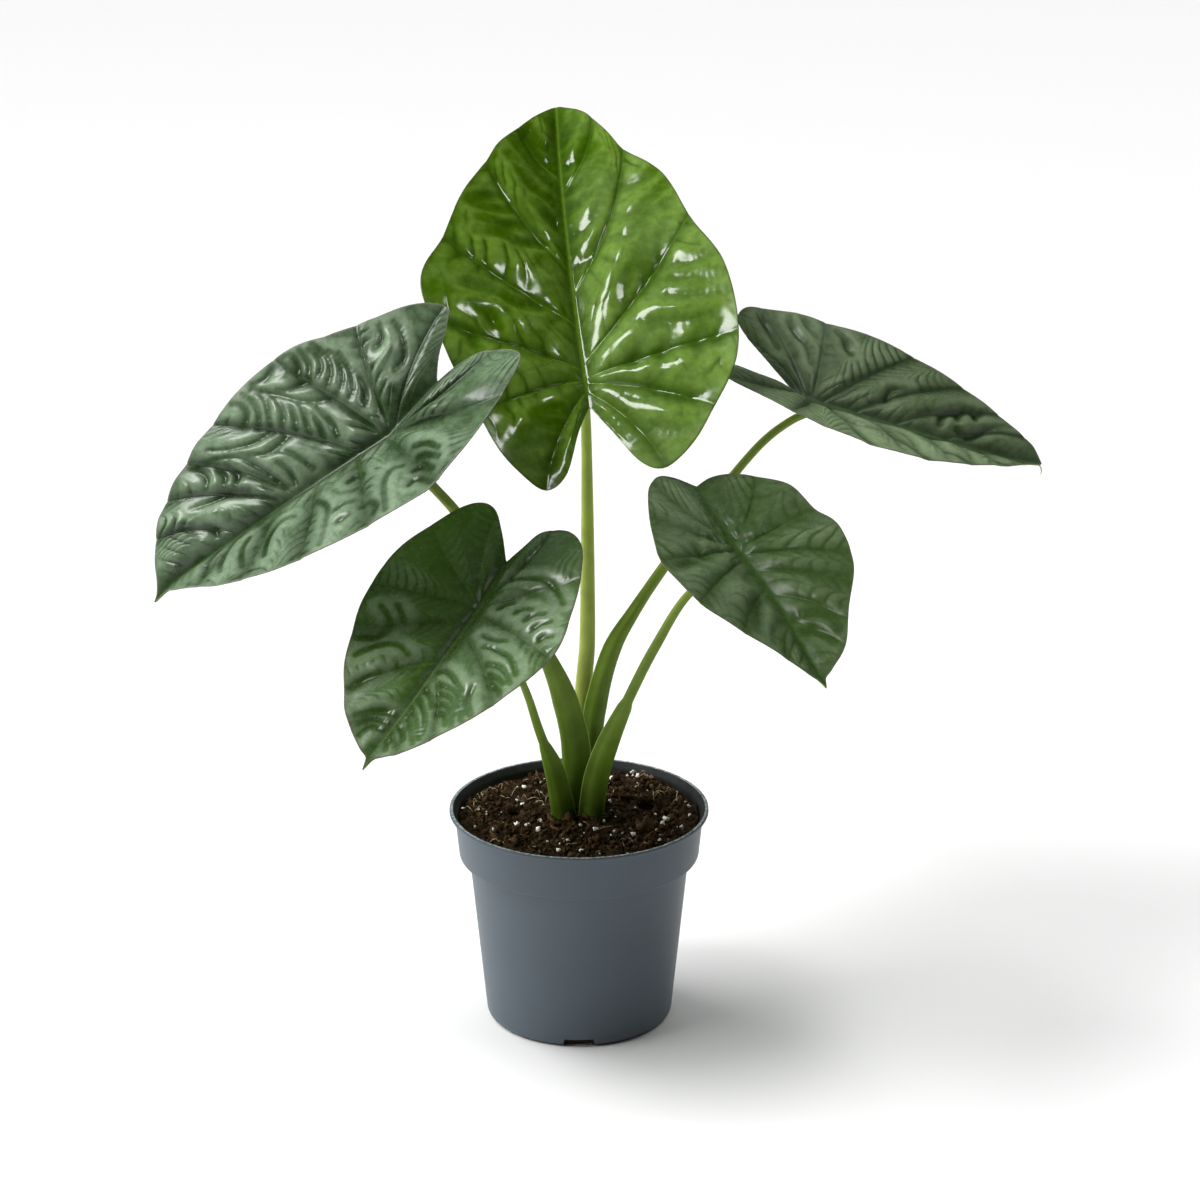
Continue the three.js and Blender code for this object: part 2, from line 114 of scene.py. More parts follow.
def add_piece(name, points, faces, finishes, stands_for=(), finish_of_face=None):
    """A smooth mesh piece from points in mm, riding on the one body of the part."""
    mesh = bpy.data.meshes.new(name)
    mesh.from_pydata((np.asarray(points, float) * MM).tolist(), [], faces)
    for finish in finishes:
        mesh.materials.append(finish)
    if finish_of_face is not None:
        mesh.polygons.foreach_set("material_index", np.asarray(finish_of_face, np.int32))
    mesh.shade_smooth()
    piece = bpy.data.objects.new(name, mesh)
    bpy.context.scene.collection.objects.link(piece)
    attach(piece, "root")
    if stands_for:
        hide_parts(*stands_for)
    return piece


def store(piece, name, values):
    """Keeps one number for each point of a piece, which its material reads by name."""
    attribute = piece.data.attributes.new(name, "FLOAT", "POINT")
    attribute.data.foreach_set("value", np.asarray(values, np.float32))


def rounded(outline, radii, steps=5):
    """The outline with each corner rounded off by a short curve."""
    corners = [np.array(point, float) for point in outline]
    line = [corners[0]]
    for before, corner, after, radius in zip(corners, corners[1:], corners[2:], radii[1:]):
        arms = [before - corner, after - corner]
        lengths = [np.linalg.norm(arm) for arm in arms]
        reach = min(radius, 0.45 * min(lengths))
        start, end = (corner + arm / length * reach for arm, length in zip(arms, lengths))
        for share in np.linspace(0, 1, steps):
            line.append((1 - share) ** 2 * start + 2 * share * (1 - share) * corner + share ** 2 * end)
    line.append(corners[-1])
    return line


def revolve(outline, sides):
    """Points and faces of a closed outline that starts and ends on the axis, turned about Z."""
    turns = np.linspace(0, 2 * math.pi, sides, endpoint=False)
    points = [(0, 0, outline[0][1])]
    for radius, height in outline[1:-1]:
        points += [(radius * math.cos(t), radius * math.sin(t), height) for t in turns]
    points.append((0, 0, outline[-1][1]))
    last = len(points) - 1
    rings = len(outline) - 2
    faces = []
    for side in range(sides):
        after = (side + 1) % sides
        faces.append((0, 1 + after, 1 + side))
        top = 1 + (rings - 1) * sides
        faces.append((last, top + side, top + after))
        for ring in range(rings - 1):
            low = 1 + ring * sides
            high = low + sides
            faces.append((low + side, low + after, high + after, high + side))
    return points, faces


def cut(piece, points, faces):
    """Cuts a closed solid, given in mm, out of a piece."""
    mesh = bpy.data.meshes.new("cutter")
    mesh.from_pydata((np.asarray(points) * MM).tolist(), [], faces)
    cutter = bpy.data.objects.new("cutter", mesh)
    bpy.context.scene.collection.objects.link(cutter)
    step = piece.modifiers.new("cut", "BOOLEAN")
    step.operation, step.solver, step.object = "DIFFERENCE", "EXACT", cutter
    graph = bpy.context.evaluated_depsgraph_get()
    piece.data = bpy.data.meshes.new_from_object(piece.evaluated_get(graph))
    piece.modifiers.clear()
    bpy.data.objects.remove(cutter)


# Moulded polypropylene: a satin skin with a very fine grain.
polypropylene, shader, place = new_finish("moulded polypropylene", IOR=1.49, Roughness=0.46)
cloud = add_node(polypropylene, "TexNoise", {"Scale": 28, "Detail": 3}, {"Vector": place})
tone = mix_colours(polypropylene, cloud, "#414c54", "#49545d")
feed(shader, "Base Color", tone)
grain = add_node(polypropylene, "TexNoise", {"Scale": 1 / (0.7 * MM), "Detail": 2}, {"Vector": place})
skin = add_node(
    polypropylene, "Bump", {"Strength": 0.12, "Distance": 0.05 * MM}, {"Height": grain})
feed(shader, "Normal", skin)

points, faces = revolve(rounded(POT_OUTLINE, CORNER_RADII), POT_SIDES)
pot = add_piece("nursery_pot", points, faces, [polypropylene], ["pot"])
for slot_number in range(DRAIN_SLOTS):
    turn = slot_number * 2 * math.pi / DRAIN_SLOTS
    outward = np.array([math.sin(turn), -math.cos(turn), 0])
    sideways = np.array([math.cos(turn), math.sin(turn), 0])
    prism = [
        outward * distance + sideways * across + np.array([0, 0, up])
        for distance in (SLOT_START, SLOT_END) for across, up in SLOT_SHAPE
    ]
    sides = [(i, (i + 1) % 4, (i + 1) % 4 + 4, i + 4) for i in range(4)]
    cut(pot, prism, [(3, 2, 1, 0), (4, 5, 6, 7)] + sides)
pot.data.set_sharp_from_angle(angle=math.radians(CREASE_ANGLE))

# The same plastic inside the rim, dulled by a film of wet peat and darkened further with painted shade.
# The faces inside the drain slots get the same dark colour as painted shade.
stained_and_shaded, shader, place = new_finish("peat-stained polypropylene with painted shade", IOR=1.45, Roughness=0.7)
film = add_node(stained_and_shaded, "TexNoise", {"Scale": 1 / (4 * MM), "Detail": 4}, {"Vector": place})
tone = mix_colours(stained_and_shaded, film, "#191816", "#35373a")
feed(shader, "Base Color", tone)
pot.data.materials.append(stained_and_shaded)

# The same plastic on top of the lip, chafed rough by stacking and painted pale: partly scuffs and partly
# a painted highlight where the lip top catches the light.
chafed_and_lit, shader, place = new_finish("chafed polypropylene with painted highlight", IOR=1.49, Roughness=0.6)
scuffs = add_node(chafed_and_lit, "TexNoise", {"Scale": 1 / (1.6 * MM), "Detail": 4}, {"Vector": place})
worn = add_node(chafed_and_lit, "MapRange", {"From Min": 0.4, "From Max": 0.62}, {"Value": scuffs})
tone = mix_colours(chafed_and_lit, worn, "#58636b", "#a9b0b4")
feed(shader, "Base Color", tone)
pot.data.materials.append(chafed_and_lit)
STAINED_AND_SHADED, CHAFED_AND_LIT = 1, 2
for face in pot.data.polygons:
    middle, facing = face.center / MM, face.normal
    reach = math.hypot(middle.x, middle.y)
    inward = middle.x * facing.x + middle.y * facing.y < -0.5 * reach
    in_slot = middle.z < SLOT_TOP and SLOT_START - 0.1 < reach < FLOOR_EDGE and abs(facing.z) < LEVEL
    slot_roof = SLOT_ROOF < middle.z < SLOT_TOP and facing.z < -LEVEL
    # The lip top gets the pale scuffs and the painted highlight.
    if middle.z > CHAFED_AND_LIT_ABOVE and CHAFED_AND_LIT_FROM < reach < CHAFED_AND_LIT_TO:
        face.material_index = CHAFED_AND_LIT
    # The inner wall above the soil gets peat stain and painted shade, and the drain slots painted shade.
    elif middle.z > STAINED_AND_SHADED_ABOVE and inward or in_slot or slot_roof:
        face.material_index = STAINED_AND_SHADED

# Soil
# Peat potting soil that fills the pot to just under the lip. It is one filled body with a lumpy
# top, heaped a little round the crown and against the back of the pot.

SOIL_LEVEL = 97.5
SOIL_EDGE = 55.4
SOIL_RINGS, SOIL_SIDES = 92, 420
SOIL_BODY = [(41.0, 2.0), (49.0, 81.4), (53.6, 81.5), (SOIL_EDGE, 96.0)]
SINK_HOLE, HOLE_DEPTH = (34.9, 11.7), 8.5  # a small hollow that a dibber left, painted near black inside as painted shade


def hollow(x, y):
    """How deep in the sunk hole a place lies, from 0 to 1."""
    away = ((x - SINK_HOLE[0]) / 1.25) ** 2 + (y - SINK_HOLE[1]) ** 2
    return math.exp(-((away / 24) ** 1.5))


def soil_height(x, y):
    """Height of the soil's top at a place, in mm."""
    lumps = 0.9 * math.sin(0.31 * x + 1.2) * math.cos(0.27 * y - 0.5)
    lumps += 0.6 * math.sin(0.55 * y + 0.23 * x) * math.cos(0.47 * x + 2)
    spot = Vector((x, y, 0))
    clods = 1.5 * noise.noise(spot / 6.5) + 1.7 * abs(noise.noise(spot / 3.1 + Vector((9, 4, 1))))
    crumbs = 0.7 * noise.noise(spot / 1.3)
    crown = 2.3 * math.exp(-(x * x + y * y) / 520)
    heap = 1.6 * math.exp(-((x - 30) ** 2 + (y - 38) ** 2) / 260)
    return SOIL_LEVEL + 0.6 * lumps + clods + crumbs + crown + heap - HOLE_DEPTH * hollow(x, y)


# Peat: dark brown fibrous crumbs, dull where dry, with a trace of shine where still damp. Down in the
# small hollow it is painted near black, as painted shade.
peat, shader, place = new_finish("damp peat", IOR=1.4, Roughness=0.7, Specular_IOR_Level=0.15)
clods = add_node(
    peat, "TexNoise", {"Scale": 1 / (5 * MM), "Detail": 4, "Roughness": 0.65}, {"Vector": place})
specks = add_node(peat, "TexNoise", {"Scale": 1 / (0.9 * MM), "Detail": 3}, {"Vector": place})
worn = add_node(peat, "Attribute", attribute_name="tone").outputs["Fac"]
shade = add_node(peat, "MapRange", {"From Min": 0.35, "From Max": 0.68}, {"Value": clods})
tone = mix_colours(peat, shade, "#100b05", "#3a2b1a")
speck = add_node(peat, "MapRange", {"From Min": 0.5, "From Max": 0.75}, {"Value": specks})
tone = mix_colours(peat, speck, tone, "#47331d")
tone = mix_colours(peat, worn, tone, "#7a6043")
# Painted shade: the small hollow is painted near black where it lies deep.
sunk = add_node(peat, "Attribute", attribute_name="sunk").outputs["Fac"]
tone = mix_colours(peat, sunk, tone, "#060403")
feed(shader, "Base Color", tone)
rough = add_node(peat, "Bump", {"Strength": 0.7, "Distance": 0.4 * MM}, {"Height": specks})
feed(shader, "Normal", rough)

turns = np.linspace(0, 2 * math.pi, SOIL_SIDES, endpoint=False)
points = [(0, 0, soil_height(0, 0))]
for ring in range(1, SOIL_RINGS + 1):
    radius = SOIL_EDGE * ring / SOIL_RINGS
    for t in turns:
        x, y = radius * math.cos(t), radius * math.sin(t)
        points.append((x, y, soil_height(x, y)))
for radius, height in reversed(SOIL_BODY):
    points += [(radius * math.cos(t), radius * math.sin(t), height) for t in turns]
points.append((0, 0, SOIL_BODY[0][1]))
faces = []
rings = SOIL_RINGS + len(SOIL_BODY)
for side in range(SOIL_SIDES):
    after = (side + 1) % SOIL_SIDES
    faces.append((0, 1 + side, 1 + after))
    for ring in range(rings - 1):
        inner = 1 + ring * SOIL_SIDES
        outer = inner + SOIL_SIDES
        faces.append((inner + side, outer + side, outer + after, inner + after))
    lowest = 1 + (rings - 1) * SOIL_SIDES
    faces.append((len(points) - 1, lowest + after, lowest + side))
soil = add_piece("potting_soil", points, faces, [peat], ["soil"])
# How deep each point lies in the hollow, which sets the painted shade there.
store(soil, "sunk", [hollow(point[0], point[1]) for point in points])

# Crumbs, bark and perlite
# Loose peat crumbs and bark chips lie on the soil, with white grains of expanded perlite and
# straw-coloured root fibres among them, each sunk a little into the peat.

CRUMBS, CHIPS, FINE_GRAINS, FIBRES = 2600, 110, 70, 70
SOIL_REACH = 53.5  # how far from the axis loose pieces lie
GRAINS = [  # x, y and radius in mm of the perlite grains that stand out
    (14.2, 12.4, 0.9), (8.9, 1.1, 1.3), (7.7, -19.9, 1.2), (0.4, -14.9, 1.2), (11.4, -10.6, 0.8),
    (16.1, -19.1, 0.7), (14.7, -24.1, 0.6), (24.9, -22.4, 1.1), (40.2, -3.5, 1.3), (38.6, -11.1, 1.0),
    (51.3, 1.1, 0.9), (51.2, 9.3, 0.7), (47.3, -16.1, 0.8), (36.9, -29.3, 0.7), (32.9, -13.1, 0.7),
    (35.6, -19.4, 0.6), (-28.5, -13.1, 1.0), (-23.5, -12.3, 1.0), (-17.5, -8.1, 0.9),
    (-18.7, -19.9, 1.1), (-29.1, -5.5, 0.6), (-39.3, -19.9, 0.8), (-47.9, -12.3, 0.6),
    (-42.8, 0.3, 0.6), (-26.4, 9.8, 0.9), (-25.7, 30.0, 1.1), (-29.2, 15.7, 0.9), (-18.4, 40.6, 0.7),
    (-18.0, 24.8, 0.7), (-20.4, -37.3, 0.8), (-9.1, -39.7, 0.9), (1.3, -41.4, 0.8),
    (-5.0, -30.6, 0.9), (-11.6, -3.5, 0.7), (-3.9, -8.0, 0.7), (15.5, 42.0, 1.1), (25.0, 49.0, 0.8),
    (27.5, 43.5, 1.1), (22.6, 46.0, 0.7), (27.8, 35.4, 0.8), (16.6, 22.7, 0.6), (-54.0, 7.2, 0.6),
    (-31.1, -31.1, 0.7), (19.9, -22.4, 0.6),
]
draw = np.random.default_rng(12)


def ball(subdivisions):
    """Points and faces of a ball of radius 1."""
    shape = bmesh.new()
    bmesh.ops.create_icosphere(shape, subdivisions=subdivisions, radius=1)
    points = np.array([v.co for v in shape.verts])
    faces = np.array([[v.index for v in face.verts] for face in shape.faces])
    shape.free()
    return points, faces


def scatter(shape, places, sizes, roughness, sink):
    """Copies of a rough lump at the places, each with its own size, turn and bumps."""
    base, base_faces = shape
    all_points, all_faces, numbers = [], [], []
    for number, ((x, y), size) in enumerate(zip(places, sizes)):
        shift = Vector(draw.uniform(-50, 50, 3))
        bumps = [1 + roughness * noise.noise(Vector(p) * 1.7 + shift) for p in base]
        turned, _ = np.linalg.qr(draw.normal(size=(3, 3)))
        lump = (base * np.array(bumps)[:, None] * size) @ turned.T
        lump += [x, y, soil_height(x, y) + sink * min(size)]
        all_faces.append(base_faces + len(base) * number)
        all_points.append(lump)
        numbers += [number] * len(base)
    return np.concatenate(all_points), np.concatenate(all_faces), np.array(numbers)


def spread(count, reach=SOIL_REACH):
    """Places strewn evenly over the soil, in mm."""
    radius = reach * np.sqrt(draw.uniform(0, 1, count))
    angle = draw.uniform(0, 2 * math.pi, count)
    return np.stack([radius * np.cos(angle), radius * np.sin(angle)], 1)


sizes = np.exp(draw.normal(-0.6, 0.5, (CRUMBS, 1))) * draw.uniform(0.45, 1.5, (CRUMBS, 3))
places, bulk = spread(CRUMBS), sizes.prod(1)
small = bulk < np.median(bulk)  # these get fewer faces
points, faces, owner = scatter(ball(2), places[~small], sizes[~small], 1.1, 0.1)
more = scatter(ball(1), places[small], sizes[small], 1.1, 0.1)
faces = np.concatenate([faces, more[1] + len(points)])
points, owner = np.concatenate([points, more[0]]), np.concatenate([owner, more[2] + owner[-1] + 1])
crumbs = add_piece("peat_crumbs", points, faces.tolist(), [peat])
store(crumbs, "tone", (draw.uniform(0, 1, CRUMBS) ** 3 * 0.5)[owner])
store(crumbs, "sunk", [hollow(point[0], point[1]) for point in points])

# Bark: thin brown flakes, split along the grain, with paler broken faces.
bark, shader, place = new_finish("composted bark", IOR=1.45, Roughness=0.6, Specular_IOR_Level=0.25)
streaks = add_node(bark, "TexNoise", {"Scale": 1 / (0.8 * MM), "Detail": 3}, {"Vector": place})
worn = add_node(bark, "Attribute", attribute_name="tone").outputs["Fac"]
tone = mix_colours(bark, streaks, "#1c1108", "#3d2716")
tone = mix_colours(bark, worn, tone, "#7b5a3a")
feed(shader, "Base Color", tone)
sizes = draw.uniform((1.2, 0.4, 0.2), (3.8, 1.1, 0.5), (CHIPS, 3))
points, faces, owner = scatter(ball(2), spread(CHIPS, 52), sizes, 0.9, 0.8)
chips = add_piece("bark_chips", points, faces.tolist(), [bark])
store(chips, "tone", (draw.uniform(0, 1, CHIPS) ** 2 * 0.6)[owner])

# Perlite: volcanic glass puffed up by heat into light white grains, chalky and faintly glinting.
perlite, shader, place = new_finish("expanded perlite", IOR=1.5, Roughness=0.6)
pits = add_node(perlite, "TexNoise", {"Scale": 1 / (0.6 * MM), "Detail": 3}, {"Vector": place})
tone = mix_colours(perlite, pits, "#ebe5d8", "#fffdf8")
feed(shader, "Base Color", tone)
pitted = add_node(perlite, "Bump", {"Strength": 0.6, "Distance": 0.2 * MM}, {"Height": pits})
feed(shader, "Normal", pitted)
stray = spread(FINE_GRAINS, 53)
places = [grain[:2] for grain in GRAINS] + list(stray)
radii = [grain[2] for grain in GRAINS] + list(draw.uniform(0.25, 0.5, FINE_GRAINS))
sizes = np.array(radii)[:, None] * draw.uniform(0.65, 1.35, (len(radii), 3))
points, faces, owner = scatter(ball(2), places, sizes, 0.9, 0.75)
add_piece("perlite_grains", points, faces.tolist(), [perlite])

# Fibres: dry straw-coloured roots and coconut fibre, each a thin bent strand.
straw, shader, _ = new_finish("dry root fibre", IOR=1.45, Roughness=0.6)
worn = add_node(straw, "Attribute", attribute_name="tone").outputs["Fac"]
tone = mix_colours(straw, worn, "#6e573a", "#c9b692")
feed(shader, "Base Color", tone)
STRAND_SIDES, STRAND_STEPS = 5, 14
TUFTS = [(33, 43), (-36, 33), (-48, 9), (21, -32), (38, 21), (-25, 21), (-17, 16), (-50, 26), (45, 22)]


def tube_faces(first, sides, rings, flip=False):
    """Faces of a tube with closed ends, over rings of points that begin with number first."""
    low = first + np.arange((rings - 1) * sides).reshape(rings - 1, sides)
    after = np.roll(low, -1, 1)
    start, end = low[0], low[-1] + sides
    if flip:
        corners, caps = (low, low + sides, after + sides, after), (start, end[::-1])
    else:
        corners, caps = (low, after, after + sides, low + sides), (start[::-1], end)
    return np.stack(corners, 2).reshape(-1, 4).tolist() + [cap.tolist() for cap in caps]


points, faces, tones = [], [], []
for strand in range(FIBRES):
    tuft = TUFTS[strand % len(TUFTS)]
    near = strand < 5 * len(TUFTS)
    spot = np.array(tuft) + draw.normal(0, 3, 2) if near else spread(1, 50)[0]
    heading = draw.uniform(0, 2 * math.pi)
    curl, length, lift = draw.normal(0, 0.07), draw.uniform(3, 8), draw.uniform(0.2, 2.4)
    thick, colour = draw.uniform(0.1, 0.24), draw.uniform(0, 1)
    line = []
    for step in range(STRAND_STEPS):
        share = step / (STRAND_STEPS - 1)
        heading += curl
        spot = spot + np.array([math.cos(heading), math.sin(heading)]) * length / STRAND_STEPS
        far = math.hypot(*spot)
        if far > SOIL_REACH:
            spot *= SOIL_REACH / far
        line.append((*spot, soil_height(*spot) + 0.3 + lift * math.sin(math.pi * share) ** 0.8))
    line = np.array(line)
    faces += tube_faces(len(points), STRAND_SIDES, STRAND_STEPS)
    for step, centre in enumerate(line):
        ahead = line[min(step + 1, STRAND_STEPS - 1)] - line[max(step - 1, 0)]
        ahead = ahead / (np.linalg.norm(ahead) + 1e-9)
        side = np.cross(ahead, [0, 0, 1])
        side = side / (np.linalg.norm(side) + 1e-9)
        over = np.cross(side, ahead)
        slim = thick * (1 - 0.6 * abs(2 * step / (STRAND_STEPS - 1) - 1) ** 3)
        for turn in np.linspace(0, 2 * math.pi, STRAND_SIDES, endpoint=False):
            points.append(centre + slim * (math.cos(turn) * side + math.sin(turn) * over))
            tones.append(colour)
fibres = add_piece("root_fibres", points, faces, [straw])
store(fibres, "tone", tones)

# Leaf blades
# Thick, quilted, shield-shaped blades of an alocasia. Each is one living sheet, folded into a
# shallow V at the midrib, with sunken side veins, puffed panels and finer ribs across them.

